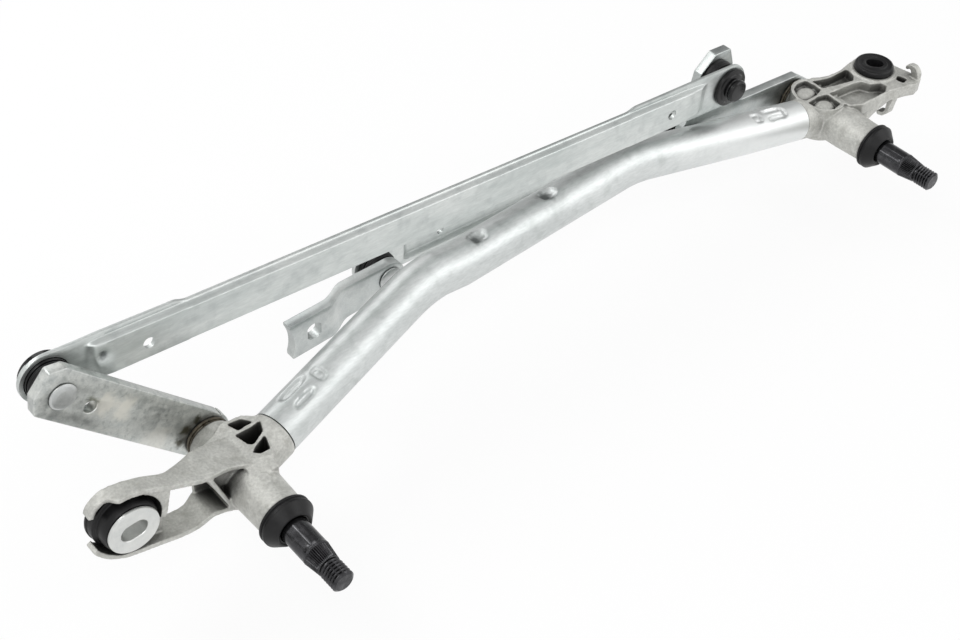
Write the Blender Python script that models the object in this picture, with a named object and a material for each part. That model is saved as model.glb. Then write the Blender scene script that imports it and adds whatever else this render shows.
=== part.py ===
# Wiper linkage of a vehicle: a tube frame between two die-cast spindle housings, two spindles with
# their levers, a long link between the levers, and a short link with the motor's crank.
# Sizes are in millimetres and become metres in solid(). X runs from the near spindle to the far one,
# Y from the threaded ends to the levers, Z is up. The near spindle's threaded end is the origin.

import bpy
import bmesh
from math import acos, asin, cos, degrees, hypot, pi, radians, sin, sqrt
from mathutils import Vector

MM = 0.001

# Fits
GAP = 0.3
RUNNING_GAP = 0.3

# Where the two spindles stand
SPINDLE_SPACING = 381.7
FAR_SETBACK = 21.36

# Spindle, measured along Y from its threaded end
THREAD_RADIUS = 5.0
THREAD_CHAMFER = 0.9
THREAD_LENGTH = 8.8
RELIEF_RADIUS = 4.3
RELIEF_LENGTH = 0.8
CONE_LENGTH = 8.4
CONE_RADIUS = 6.1
SHAFT_RADIUS = 6.0
RING_GROOVE_DEPTH = 0.7
LEVER_SEAT_RADIUS = 5.0
STAKED_HEAD_RADIUS = 5.9
STAKED_HEAD_LENGTH = 2.4

# Seal cap
CAP_FRONT = 31.8
CAP_STEP = 36.0
CAP_BACK = 39.8
CAP_FRONT_RADIUS = 8.2
CAP_CONE_RADIUS = 11.5
CAP_FLANGE_RADIUS = 11.8
CAP_RECESS_RADIUS = 7.4
CAP_LIP_THICKNESS = 1.9

# Barrel of both housings, with its two plain bushes and the washer and ring that hold the shaft
BARREL_FRONT = 36.6
BARREL_BACK = 91.5
BARREL_NOSE_RADIUS = 8.9
BARREL_RADIUS = 10.1
BARREL_MIDDLE_RADIUS = 10.6
BARREL_BACK_RADIUS = 10.2
BARREL_WALL_START = 57.0
BUSH_WALL = 1.1
BUSH_LENGTH = 14.0
BUSH_INSET = 0.6
RING_THICKNESS = 1.2
RING_RADIUS = 8.4
WASHER_THICKNESS = 2.3
WASHER_RADIUS = 10.0

# Plates of the levers and of the crank
PLATE_THICKNESS = 5.0
LEVER_FRONT = BARREL_BACK + GAP + WASHER_THICKNESS + GAP
LEVER_BACK = LEVER_FRONT + PLATE_THICKNESS
FAR_LEVER_FRONT = FAR_SETBACK + LEVER_FRONT
FAR_LEVER_BACK = FAR_LEVER_FRONT + PLATE_THICKNESS

# Near lever
NEAR_ARM_LENGTH = 81.03
NEAR_ARM_ANGLE = 45.67
NEAR_LEVER_HALF_WIDTH = 11.0
NEAR_LEVER_END = 11.6
NEAR_LEVER_HOLE_RADIUS = 2.8
NEAR_LEVER_HOLE_SETBACK = 15.4
NEAR_LEVER_HOLE_DROP = 1.3

# Far lever, its two studs measured from the far spindle
LONG_STUD_X = -69.0
LONG_STUD_Z = 39.0
SHORT_STUD_X = -75.0
SHORT_STUD_Z = 7.0
FAR_LEVER_HALF_WIDTH = 11.0

# Ball studs
BALL_RADIUS = 4.0
BALL_FORWARD = 1.2
STUD_NECK_RADIUS = 2.6
STUD_SHANK_RADIUS = 3.6
STUD_COLLAR_RADIUS = 4.4
STUD_COLLAR_LENGTH = 1.2
RIVET_RADIUS = 5.8
RIVET_HEIGHT = 1.2

# Long link, a pressed channel open to the back
LONG_LINK_STANDOFF = 6.4
LINK_SHEET = 2.0
LONG_LINK_END_RADIUS = 11.7
LONG_LINK_FLANGE = 11.0
LONG_LINK_CROWN = 7.5
LONG_LINK_DEPTH = 3.2
LONG_LINK_HOLE_RADIUS = 2.6
LONG_LINK_NEAR_HOLE_AT = 41.0
LONG_LINK_FAR_HOLE_AT = 43.0

# Sockets and boots of the long link. The near cavity is wider than its ball: the linkage is open there
OPEN_PIVOT_CLEARANCE = 3.8
SOCKET_WALL = 1.4
NEAR_BOOT_RADIUS = 10.3
SOCKET_FLANGE_RADIUS = 10.0
SOCKET_STEP_RADIUS = 8.2
SOCKET_MOUTH_RADIUS = 3.7
FAR_STEM_RADIUS = 6.5
FAR_STEM_LENGTH = 7.0

# Short link, a strip with a pressed groove, and its sockets
SHORT_LINK_STANDOFF = 7.0
SHORT_LINK_HALF_WIDTH = 8.6
SHORT_LINK_GROOVE = 4.2
SHORT_LINK_GROOVE_DEPTH = 2.2
SHORT_SOCKET_FLANGE_RADIUS = 8.6
SHORT_SOCKET_REACH = 2.6
SHORT_BOOT_LENGTH = 3.2
SHORT_LINK_HOLE_AT = 40.5
SHORT_LINK_HOLE_RADIUS = 1.9

# Crank
CRANK_LENGTH = 44.7
CRANK_ANGLE = 4.2
CRANK_BALL_X = 110.3
CRANK_BALL_Z = 12.3
CRANK_JOGGLE = 5.0
CRANK_HUB_HALF_WIDTH = 9.8
CRANK_TIP_HALF_WIDTH = 8.2
CRANK_HUB_END = 12.0
CRANK_HOLE_RADIUS = 4.0
CRANK_FLAT = 3.3
CRANK_HOLLOW_AT = 31.0
CRANK_HOLLOW_RADIUS = 20.6

# Frame tube
TUBE_RADIUS = 10.5
TUBE_WALL = 1.5
TUBE_NEAR_END = Vector((0.0, 70.6, 0.0))
TUBE_BEND_1 = Vector((108.0, 98.5, 17.5))
TUBE_BEND_2 = Vector((SPINDLE_SPACING - 136.7, 108.2, 18.3))
TUBE_FAR_END = Vector((SPINDLE_SPACING, 95.1, 0.0))
TUBE_BEND_RADIUS = 90.0
NEAR_COLLAR_LENGTH = 22.0
NEAR_COLLAR_RADIUS = 10.9
FAR_COLLAR_LENGTH = 20.0
FAR_COLLAR_RADIUS = 10.5
NEAR_SPIGOT_LENGTH = 38.0
FAR_SPIGOT_LENGTH = 44.0
SPIGOT_LAND = 5.0
CRIMP_DEPTH = 1.6
TUBE_SIDES = 20

# Near housing's fork and its grommet
ARM_FRONT = 60.0
ARM_DEPTH = 9.0
ARM_WALL = 2.2
FORK_BACK = 76.0
NEAR_EYE_X = -53.5
NEAR_EYE_Z = 14.5
GROMMET_RADIUS = 13.3
SLEEVE_FACE = 57.6
SLEEVE_FLANGE_RADIUS = 10.75
SLEEVE_RADIUS = 8.4
SLEEVE_SLOT_LENGTH = 11.3
SLEEVE_SLOT_WIDTH = 8.0
TABLE_TOP = 12.0
TABLE_BOTTOM = 4.0
POCKET_FLOOR = 7.6

# Far housing: its oval boss, measured from the far spindle, and its arm
BOSS_X = -3.0
BOSS_Y = 97.8
BOSS_HALF_WIDTH = 12.4
BOSS_HALF_LENGTH = 15.4
BOSS_BOTTOM = -9.8
FAR_ARM_TOP = 12.0
FAR_ARM_BOTTOM = 5.0
FAR_ARM_FLOOR = 7.0
BARREL_ROOF = 8.9
DOME_SIDES = 10
FAR_EYE_X = 39.0
FAR_EYE_Y = 95.3
FAR_EYE_RADIUS = 9.2
FAR_EYE_WALL = 2.6
FAR_EYE_TOP = 13.0
FAR_EYE_BOTTOM = 4.4
HOOK_X = 52.0
HOOK_THICKNESS = 3.4
FINGER_X = 39.2
FINGER_WIDTH = 5.0
FAR_GROMMET_TOP = 16.6
FAR_GROMMET_FLANGE_RADIUS = 10.6
FAR_GROMMET_SLOT_LENGTH = 9.2
FAR_GROMMET_SLOT_WIDTH = 7.0
FAR_GROMMET_SLOT_TURN = -45.0

FINE = 20
COARSE = 16

X = Vector((1.0, 0.0, 0.0))
Y = Vector((0.0, 1.0, 0.0))
Z = Vector((0.0, 0.0, 1.0))

for old in list(bpy.data.objects):
    bpy.data.objects.remove(old)


def material(name, colour, metallic, roughness):
    made = bpy.data.materials.new(name)
    made.use_nodes = True
    shader = made.node_tree.nodes["Principled BSDF"]
    shader.inputs["Base Color"].default_value = (*colour, 1.0)
    shader.inputs["Metallic"].default_value = metallic
    shader.inputs["Roughness"].default_value = roughness
    made.diffuse_color = (*colour, 1.0)
    return made


GALVANISED = material("galvanised_steel", (0.58, 0.60, 0.60), 0.9, 0.38)
CAST = material("cast_aluminium", (0.48, 0.48, 0.45), 0.8, 0.55)
RUBBER = material("black_rubber", (0.022, 0.022, 0.023), 0.0, 0.7)
PLASTIC = material("black_plastic", (0.018, 0.018, 0.019), 0.0, 0.45)
BLACKENED = material("blackened_steel", (0.03, 0.03, 0.032), 0.7, 0.3)
BRONZE = material("sintered_bronze", (0.35, 0.22, 0.11), 0.9, 0.5)
SPRING = material("spring_steel", (0.2, 0.2, 0.21), 0.9, 0.35)


def joint_axis(name, place):
    empty = bpy.data.objects.new(name, None)
    empty.location = MM * Vector(place)
    bpy.context.scene.collection.objects.link(empty)
    return empty


FRAME = joint_axis("frame_origin", (0.0, 0.0, 0.0))
NEAR = joint_axis("near_spindle_axis", (0.0, 0.0, 0.0))
FAR = joint_axis("far_spindle_axis", (SPINDLE_SPACING, FAR_SETBACK, 0.0))

near_ball_x = -NEAR_ARM_LENGTH * cos(radians(NEAR_ARM_ANGLE))
near_ball_z = NEAR_ARM_LENGTH * sin(radians(NEAR_ARM_ANGLE))
far_ball_x = SPINDLE_SPACING + LONG_STUD_X
far_ball_z = LONG_STUD_Z
short_ball_x = SPINDLE_SPACING + SHORT_STUD_X
short_ball_z = SHORT_STUD_Z
link_front = LEVER_BACK + LONG_LINK_STANDOFF
link_back = link_front + LINK_SHEET
ball_level = link_front + 0.5 * LINK_SHEET - BALL_FORWARD
short_front = FAR_LEVER_BACK + SHORT_LINK_STANDOFF
short_back = short_front + LINK_SHEET
short_ball_level = short_front + 0.5 * LINK_SHEET - BALL_FORWARD

LONG = joint_axis("long_link_axis", (far_ball_x, ball_level, far_ball_z))
SHORT = joint_axis("short_link_axis", (short_ball_x, short_ball_level, short_ball_z))
CRANK = joint_axis("crank_axis", (CRANK_BALL_X, short_ball_level, CRANK_BALL_Z))
MESHES = {}


def solid(name, corners, faces, body, look=None):
    """A closed mesh from corners in millimetres. Without a look it is a helper for a Boolean."""
    mesh = bpy.data.meshes.new(name)
    home = body.location
    mesh.from_pydata([tuple(MM * Vector(corner) - home) for corner in corners], [], faces)
    shape = bmesh.new()
    shape.from_mesh(mesh)
    bmesh.ops.recalc_face_normals(shape, faces=shape.faces[:])
    shape.to_mesh(mesh)
    shape.free()
    made = bpy.data.objects.new(name, mesh)
    made.parent = body
    bpy.context.scene.collection.objects.link(made)
    if look is None:
        made.hide_render = True
        made.display_type = "WIRE"
    else:
        mesh.materials.append(look)
    return made


def boolean(target, helper, operation):
    step = target.modifiers.new(operation.lower() + "_" + helper.name, "BOOLEAN")
    step.solver = "EXACT"
    step.operation = operation
    step.object = helper


def join(target, *helpers):
    for helper in helpers:
        boolean(target, helper, "UNION")


def cut(target, *helpers):
    for helper in helpers:
        boolean(target, helper, "DIFFERENCE")


def across(direction):
    """Two directions square to the given one, and to each other."""
    first = Z.cross(direction) if abs(direction.z) < 0.9 else X.cross(direction)
    first.normalize()
    return first, direction.cross(first)


def turned(name, profile, start, direction, body, look=None, sides=FINE, turn=0.0):
    """A solid of revolution. The profile is (distance along the axis, radius), closed unless on the axis."""
    start = Vector(start)
    side, up = across(direction)
    corners = []
    rings = []
    for along, radius in profile:
        centre = start + along * direction
        if radius < 1e-6:
            rings.append([len(corners)])
            corners.append(centre)
            continue
        rings.append(list(range(len(corners), len(corners) + sides)))
        for step in range(sides):
            angle = 2.0 * pi * (step + turn) / sides
            corners.append(centre + radius * (cos(angle) * side + sin(angle) * up))
    pairs = list(zip(rings, rings[1:]))
    if len(rings[0]) > 1:
        pairs.append((rings[-1], rings[0]))
    faces = []
    for one, two in pairs:
        for step in range(sides):
            following = (step + 1) % sides
            if len(one) == 1 and len(two) == 1:
                continue
            if len(one) == 1:
                faces.append([one[0], two[step], two[following]])
            elif len(two) == 1:
                faces.append([one[step], two[0], one[following]])
            else:
                faces.append([one[step], two[step], two[following], one[following]])
    return solid(name, corners, faces, body, look)


def loft(name, sections, body, look=None):
    """A solid through rings of as many corners each, closed at both ends."""
    count = len(sections[0])
    corners = [corner for section in sections for corner in section]
    faces = [list(range(count)), list(range(len(corners) - count, len(corners)))]
    for row in range(len(sections) - 1):
        for step in range(count):
            following = (step + 1) % count
            low = row * count
            faces.append([low + step, low + following, low + count + following, low + count + step])
    return solid(name, corners, faces, body, look)


def plate(name, outline, front, back, body, look=None):
    """An outline in X and Z, extruded along Y."""
    return loft(name, [[(x, y, z) for x, z in outline] for y in (front, back)], body, look)


def slab(name, outline, bottom, top, body, look=None):
    """An outline in X and Y, extruded along Z."""
    return loft(name, [[(x, y, z) for x, y in outline] for z in (bottom, top)], body, look)


def slice_across(name, outline, left, right, body, look=None):
    """An outline in Y and Z, extruded along X."""
    return loft(name, [[(x, y, z) for y, z in outline] for x in (left, right)], body, look)


def arc(centre_x, centre_z, radius, first, last, count):
    """Points on an arc from one angle to the other, in degrees."""
    points = []
    for step in range(count + 1):
        angle = radians(first + (last - first) * step / count)
        points.append((centre_x + radius * cos(angle), centre_z + radius * sin(angle)))
    return points


def obround(centre_x, centre_y, length, width):
    reach = 0.5 * (length - width)
    right = arc(centre_x + reach, centre_y, 0.5 * width, -90.0, 90.0, 8)
    return right + arc(centre_x - reach, centre_y, 0.5 * width, 90.0, 270.0, 8)


def pin(name, x, z, radius, front, back, body, sides=COARSE):
    """A helper cylinder along Y."""
    return turned(name, [(0.0, 0.0), (0.0, radius), (back - front, radius), (back - front, 0.0)],
                  (x, front, z), Y, body, None, sides, 0.37)


# Spindles, from the thread to the staked end behind the lever
ring_front = BARREL_FRONT - GAP - RING_THICKNESS
cone_start = THREAD_LENGTH + RELIEF_LENGTH
cone_end = cone_start + CONE_LENGTH
spindle_profile = [
    (0.0, 0.0),
    (0.0, THREAD_RADIUS - THREAD_CHAMFER),
    (THREAD_CHAMFER, THREAD_RADIUS),
    (THREAD_LENGTH, THREAD_RADIUS),
    (THREAD_LENGTH + 0.1, RELIEF_RADIUS),
    (cone_start, RELIEF_RADIUS),
    (cone_start + 0.1, THREAD_RADIUS),
    (cone_end, CONE_RADIUS),
    (cone_end + 0.3, SHAFT_RADIUS),
    (ring_front - GAP, SHAFT_RADIUS),
    (ring_front - GAP, SHAFT_RADIUS - RING_GROOVE_DEPTH),
    (ring_front + RING_THICKNESS + GAP, SHAFT_RADIUS - RING_GROOVE_DEPTH),
    (ring_front + RING_THICKNESS + GAP, SHAFT_RADIUS),
    (LEVER_FRONT - GAP, SHAFT_RADIUS),
    (LEVER_FRONT - GAP, LEVER_SEAT_RADIUS),
    (LEVER_BACK + GAP, LEVER_SEAT_RADIUS),
    (LEVER_BACK + GAP, STAKED_HEAD_RADIUS),
    (LEVER_BACK + 0.6 * STAKED_HEAD_LENGTH, STAKED_HEAD_RADIUS),
    (LEVER_BACK + STAKED_HEAD_LENGTH, 0.6 * STAKED_HEAD_RADIUS),
    (LEVER_BACK + STAKED_HEAD_LENGTH, 0.0),
]
barrel_bore = SHAFT_RADIUS + RUNNING_GAP + BUSH_WALL + GAP
barrel_profile = [
    (BARREL_FRONT, 0.0),
    (BARREL_FRONT, BARREL_NOSE_RADIUS),
    (CAP_BACK + GAP, BARREL_NOSE_RADIUS),
    (CAP_BACK + GAP + 0.01, BARREL_RADIUS),
    (BARREL_WALL_START, BARREL_MIDDLE_RADIUS),
    (BARREL_BACK - 0.8, BARREL_BACK_RADIUS),
    (BARREL_BACK, BARREL_BACK_RADIUS - 0.6),
    (BARREL_BACK, 0.0),
]
bush_profile = [
    (0.0, SHAFT_RADIUS + RUNNING_GAP),
    (0.0, barrel_bore - GAP),
    (BUSH_LENGTH, barrel_bore - GAP),
    (BUSH_LENGTH, SHAFT_RADIUS + RUNNING_GAP),
]
cap_hollow = BARREL_NOSE_RADIUS + GAP
cap_lip = CAP_FRONT + 0.7
cap_profile = [
    (CAP_FRONT, CAP_RECESS_RADIUS),
    (CAP_FRONT, CAP_FRONT_RADIUS),
    (CAP_STEP, CAP_CONE_RADIUS),
    (CAP_STEP + 0.3, CAP_FLANGE_RADIUS),
    (CAP_BACK - 0.5, CAP_FLANGE_RADIUS),
    (CAP_BACK, CAP_FLANGE_RADIUS - 0.5),
    (CAP_BACK, cap_hollow),
    (cap_lip + CAP_LIP_THICKNESS, cap_hollow),
    (cap_lip + CAP_LIP_THICKNESS, SHAFT_RADIUS + RUNNING_GAP),
    (cap_lip, SHAFT_RADIUS + RUNNING_GAP),
    (cap_lip, CAP_RECESS_RADIUS),
]
ring_profile = [
    (0.0, SHAFT_RADIUS - RING_GROOVE_DEPTH + GAP),
    (0.0, RING_RADIUS),
    (RING_THICKNESS, RING_RADIUS),
    (RING_THICKNESS, SHAFT_RADIUS - RING_GROOVE_DEPTH + GAP),
]
washer_profile = [
    (0.0, SHAFT_RADIUS + RUNNING_GAP),
    (0.0, WASHER_RADIUS),
    (WASHER_THICKNESS, WASHER_RADIUS),
    (WASHER_THICKNESS, SHAFT_RADIUS + RUNNING_GAP),
]

for side, body, x, setback in (("near", NEAR, 0.0, 0.0), ("far", FAR, SPINDLE_SPACING, FAR_SETBACK)):
    turned(side + "_spindle", spindle_profile, (x, setback, 0.0), Y, body, BLACKENED)
    turned(side + "_seal_cap", cap_profile, (x, setback, 0.0), Y, FRAME, RUBBER)
    turned(side + "_retaining_ring", ring_profile, (x, setback + ring_front, 0.0), Y, body, SPRING, COARSE)
    turned(side + "_thrust_washer", washer_profile, (x, setback + BARREL_BACK + GAP, 0.0), Y, FRAME, SPRING)
    front_bush = setback + BARREL_FRONT + BUSH_INSET
    back_bush = setback + BARREL_BACK - BUSH_INSET - BUSH_LENGTH
    turned(side + "_front_bush", bush_profile, (x, front_bush, 0.0), Y, FRAME, BRONZE, COARSE)
    turned(side + "_back_bush", bush_profile, (x, back_bush, 0.0), Y, FRAME, BRONZE, COARSE)


def ball_stud(name, x, z, face, way, ball_at, body):
    """A stud riveted in a plate. The face is the plate's on the ball's side, the way is +1 or -1 along Y."""
    reach = abs(ball_at - face)
    neck_start = reach - sqrt(BALL_RADIUS ** 2 - STUD_NECK_RADIUS ** 2)
    profile = [
        (-PLATE_THICKNESS - GAP - RIVET_HEIGHT, 0.0),
        (-PLATE_THICKNESS - GAP - RIVET_HEIGHT, RIVET_RADIUS - 0.9),
        (-PLATE_THICKNESS - GAP - 0.5 * RIVET_HEIGHT, RIVET_RADIUS),
        (-PLATE_THICKNESS - GAP, RIVET_RADIUS),
        (-PLATE_THICKNESS - GAP, STUD_SHANK_RADIUS),
        (GAP, STUD_SHANK_RADIUS),
        (GAP, STUD_COLLAR_RADIUS),
        (GAP + STUD_COLLAR_LENGTH, STUD_COLLAR_RADIUS),
        (GAP + STUD_COLLAR_LENGTH + 0.2, STUD_NECK_RADIUS),
        (neck_start, STUD_NECK_RADIUS),
    ]
    for step in range(1, 7):
        share = 1.0 - step / 6.0
        angle = share * (pi - asin(STUD_NECK_RADIUS / BALL_RADIUS))
        profile.append((reach + BALL_RADIUS * cos(angle), BALL_RADIUS * sin(angle)))
    profile[-1] = (reach + BALL_RADIUS, 0.0)
    return turned(name, profile, (x, face, z), way * Y, body, GALVANISED, COARSE)


# Near lever
arm_x = -cos(radians(NEAR_ARM_ANGLE))
arm_z = sin(radians(NEAR_ARM_ANGLE))


def on_near_arm(along, up):
    return (along * arm_x + up * arm_z, along * arm_z - up * arm_x)


half = NEAR_LEVER_HALF_WIDTH
tip = NEAR_ARM_LENGTH + NEAR_LEVER_END
near_outline = [on_near_arm(-along, up) for along, up in arc(0.0, 0.0, half, -90.0, 90.0, 12)]
near_outline += [on_near_arm(tip - 5.4, half), on_near_arm(tip, 0.62 * half),
                 on_near_arm(tip - 1.0, -0.45 * half),
                 on_near_arm(tip - 5.7, -half)]
near_lever = plate("near_lever", near_outline, LEVER_FRONT, LEVER_BACK, NEAR, GALVANISED)
hole_x, hole_z = on_near_arm(NEAR_ARM_LENGTH - NEAR_LEVER_HOLE_SETBACK, -NEAR_LEVER_HOLE_DROP)
cut(near_lever,
    pin("near_lever_spindle_hole", 0.0, 0.0, LEVER_SEAT_RADIUS + GAP, LEVER_FRONT - 2, LEVER_BACK + 2, NEAR),
    pin("near_lever_stud_hole", near_ball_x, near_ball_z, STUD_SHANK_RADIUS + GAP, LEVER_FRONT - 2,
        LEVER_BACK + 2,
        NEAR),
    pin("near_lever_small_hole", hole_x, hole_z, NEAR_LEVER_HOLE_RADIUS, LEVER_FRONT - 2, LEVER_BACK + 2,
        NEAR))
ball_stud("near_ball_stud", near_ball_x, near_ball_z, LEVER_BACK, 1.0, ball_level, NEAR)

# Far lever, with its upper arm for the long link and its left end for the short link
far_outline = [
    (1.5, FAR_LEVER_HALF_WIDTH + 1.2), (-42.7, FAR_LEVER_HALF_WIDTH + 3.9), (-48.5, 17.0), (-51.8, 21.5),
    (LONG_STUD_X + 13.1, LONG_STUD_Z + 3.6), (LONG_STUD_X + 9.7, LONG_STUD_Z + 12.8),
    (LONG_STUD_X - 1.0, LONG_STUD_Z + 13.3), (LONG_STUD_X - 10.0, LONG_STUD_Z + 5.1),
    (LONG_STUD_X - 11.0, LONG_STUD_Z - 0.3), (SHORT_STUD_X - 8.5, SHORT_STUD_Z + 12.4),
    (SHORT_STUD_X - 11.2, SHORT_STUD_Z + 8.1), (SHORT_STUD_X - 11.7, SHORT_STUD_Z + 2.0),
    (SHORT_STUD_X - 10.4, SHORT_STUD_Z - 5.0), (SHORT_STUD_X - 6.0, SHORT_STUD_Z - 9.9),
    (SHORT_STUD_X, SHORT_STUD_Z - 11.6), (0.0, -FAR_LEVER_HALF_WIDTH - 0.5),
    (8.0, -FAR_LEVER_HALF_WIDTH + 0.5),
    (14.0, -6.0), (15.5, 2.5),
]
far_outline = [(SPINDLE_SPACING + x, z) for x, z in far_outline]
far_lever = plate("far_lever", far_outline, FAR_LEVER_FRONT, FAR_LEVER_BACK, FAR, GALVANISED)
before = FAR_LEVER_FRONT - 2.0
behind = FAR_LEVER_BACK + 2.0
cut(far_lever,
    pin("far_lever_spindle_hole", SPINDLE_SPACING, 0.0, LEVER_SEAT_RADIUS + GAP, before, behind, FAR),
    pin("far_lever_long_stud_hole", far_ball_x, far_ball_z, STUD_SHANK_RADIUS + GAP, before, behind, FAR),
    pin("far_lever_short_stud_hole", short_ball_x, short_ball_z, STUD_SHANK_RADIUS + GAP, before, behind,
        FAR))
ball_stud("far_long_link_stud", far_ball_x, far_ball_z, FAR_LEVER_FRONT, -1.0, ball_level, FAR)
ball_stud("far_short_link_stud", short_ball_x, short_ball_z, FAR_LEVER_BACK, 1.0, short_ball_level, FAR)


def pressed_link(name, start, end, stations, front, body):
    """A strip pressed from sheet. Each station is (along, half width, crown half width, forward rise)."""
    length = hypot(end[0] - start[0], end[1] - start[1])
    along_x = (end[0] - start[0]) / length
    along_z = (end[1] - start[1]) / length
    sections = []
    for along, edge, crown, rise in stations:
        inner = min(LINK_SHEET, 0.4 * crown)
        shoulder = min(crown + 0.35 * abs(rise) + 0.4, edge - 0.2)
        lift_in = inner if rise > 0.0 else 0.0
        ring = [(-edge, 0.0), (-shoulder, 0.0), (-crown, -rise), (crown, -rise), (shoulder, 0.0), (edge, 0.0),
                (edge, LINK_SHEET), (shoulder - lift_in, LINK_SHEET), (crown - lift_in, LINK_SHEET - rise),
                (lift_in - crown, LINK_SHEET - rise), (lift_in - shoulder, LINK_SHEET), (-edge, LINK_SHEET)]
        base_x = start[0] + along * along_x
        base_z = start[1] + along * along_z
        sections.append([(base_x - up * along_z, front + y, base_z + up * along_x) for up, y in ring])
    return loft(name, sections, body, GALVANISED)


def round_end(centre, radius, way, crown):
    """Stations of a flat round end, from its tip towards the link's middle or the other way round."""
    made = []
    for step in range(1, 7):
        angle = radians(15.0 * step)
        edge = radius * sin(angle)
        made.append((centre - way * radius * cos(angle), edge, min(crown, 0.6 * edge), 0.0))
    return made if way > 0 else made[::-1]


# Long link
long_length = hypot(far_ball_x - near_ball_x, far_ball_z - near_ball_z)
end_radius = LONG_LINK_END_RADIUS
middle_edge = LONG_LINK_CROWN + 0.35 * LONG_LINK_DEPTH + 0.7
long_stations = round_end(0.0, end_radius, 1.0, LONG_LINK_CROWN - 2.0)
long_stations += [
    (13.5, 0.97 * end_radius, LONG_LINK_CROWN - 2.0, 0.0),
    (19.0, LONG_LINK_FLANGE + 0.6, LONG_LINK_CROWN - 1.5, 0.4 * LONG_LINK_DEPTH),
    (34.0, LONG_LINK_FLANGE, LONG_LINK_CROWN - 1.0, 0.8 * LONG_LINK_DEPTH),
    (56.0, LONG_LINK_FLANGE, LONG_LINK_CROWN - 0.5, LONG_LINK_DEPTH),
    (62.0, middle_edge, LONG_LINK_CROWN, LONG_LINK_DEPTH),
    (long_length - 74.0, middle_edge, LONG_LINK_CROWN, LONG_LINK_DEPTH),
    (long_length - 66.0, LONG_LINK_FLANGE, LONG_LINK_CROWN - 0.5, LONG_LINK_DEPTH),
    (long_length - 32.0, LONG_LINK_FLANGE, LONG_LINK_CROWN - 1.0, LONG_LINK_DEPTH),
    (long_length - 19.0, LONG_LINK_FLANGE + 0.6, LONG_LINK_CROWN - 1.5, 0.4 * LONG_LINK_DEPTH),
    (long_length - 14.0, 0.97 * end_radius, LONG_LINK_CROWN - 2.0, 0.0),
]
long_stations += round_end(long_length, end_radius, -1.0, LONG_LINK_CROWN - 2.0)
long_link = pressed_link("long_link", (near_ball_x, near_ball_z), (far_ball_x, far_ball_z),
                         long_stations, link_front, LONG)
near_cavity = BALL_RADIUS + OPEN_PIVOT_CLEARANCE
near_sleeve = near_cavity + SOCKET_WALL
ball_cavity = BALL_RADIUS + RUNNING_GAP
socket_body = ball_cavity + SOCKET_WALL + 0.6
along_x = (far_ball_x - near_ball_x) / long_length
along_z = (far_ball_z - near_ball_z) / long_length
cut(long_link,
    pin("long_link_near_socket_hole", near_ball_x, near_ball_z, near_sleeve + GAP, link_front - 3,
        link_back + 3,
        LONG, FINE),
    pin("long_link_far_socket_hole", far_ball_x, far_ball_z, socket_body + GAP, link_front - 3, link_back + 3,
        LONG, FINE),
    pin("long_link_near_hole", near_ball_x + LONG_LINK_NEAR_HOLE_AT * along_x,
        near_ball_z + LONG_LINK_NEAR_HOLE_AT * along_z - 1.0, LONG_LINK_HOLE_RADIUS,
        link_front - 6, link_back + 3, LONG),
    pin("long_link_far_hole", far_ball_x - LONG_LINK_FAR_HOLE_AT * along_x,
        far_ball_z - LONG_LINK_FAR_HOLE_AT * along_z, LONG_LINK_HOLE_RADIUS,
        link_front - 6, link_back + 3, LONG))

near_boot_front = LEVER_BACK + 0.7
turned("near_boot", [
    (near_boot_front, near_cavity), (near_boot_front, NEAR_BOOT_RADIUS - 1.2),
    (link_front - 1.8, NEAR_BOOT_RADIUS), (link_front - GAP, NEAR_BOOT_RADIUS),
    (link_front - GAP, near_sleeve + GAP), (link_front - 1.4, near_sleeve + GAP),
    (link_front - 1.4, near_cavity),
], (near_ball_x, 0.0, near_ball_z), Y, LONG, RUBBER)
socket_floor = ball_level + BALL_RADIUS + 0.6
near_socket_profile = [
    (socket_floor + 1.2, 0.0), (socket_floor + 1.2, near_cavity), (link_back + 1.4, near_sleeve + 0.7),
    (link_back + GAP, near_sleeve + 0.7), (link_back + GAP, near_sleeve), (link_front - 1.1, near_sleeve),
    (link_front - 1.1, near_cavity), (socket_floor - 0.5, near_cavity), (socket_floor, near_cavity - 0.5),
    (socket_floor, 0.0),
]
turned("near_socket", near_socket_profile, (near_ball_x, 0.0, near_ball_z), Y, LONG, PLASTIC)


def cavity_profile(centre, way):
    """The ball's hollow in a socket, from its mouth to its floor. The way points to the mouth."""
    mouth = sqrt(ball_cavity ** 2 - SOCKET_MOUTH_RADIUS ** 2)
    points = []
    opening = asin(SOCKET_MOUTH_RADIUS / ball_cavity)
    for step in range(6):
        angle = opening + (pi - opening) * step / 5.0
        points.append((centre + way * ball_cavity * cos(angle), ball_cavity * sin(angle)))
    points[0] = (centre + way * mouth, SOCKET_MOUTH_RADIUS)
    points[-1] = (centre - way * ball_cavity, 0.0)
    return points


stem_front = link_front - FAR_STEM_LENGTH
far_mouth = link_back + 2.6
far_socket_profile = [
    (stem_front, 0.0), (stem_front, FAR_STEM_RADIUS - 0.9), (stem_front + 0.9, FAR_STEM_RADIUS),
    (link_front - 4.0, FAR_STEM_RADIUS), (link_front - 3.4, SOCKET_STEP_RADIUS),
    (link_front - 2.4, SOCKET_STEP_RADIUS), (link_front - 2.2, SOCKET_FLANGE_RADIUS),
    (link_front - GAP, SOCKET_FLANGE_RADIUS),
    (link_front - GAP, socket_body), (link_back + GAP, socket_body), (link_back + GAP, socket_body + 1.6),
    (link_back + 1.5, socket_body + 1.6), (far_mouth, socket_body), (far_mouth, SOCKET_MOUTH_RADIUS + 0.3),
]
far_socket_profile += cavity_profile(ball_level, 1.0)
turned("far_socket", far_socket_profile, (far_ball_x, 0.0, far_ball_z), Y, LONG, PLASTIC, COARSE)
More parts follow.
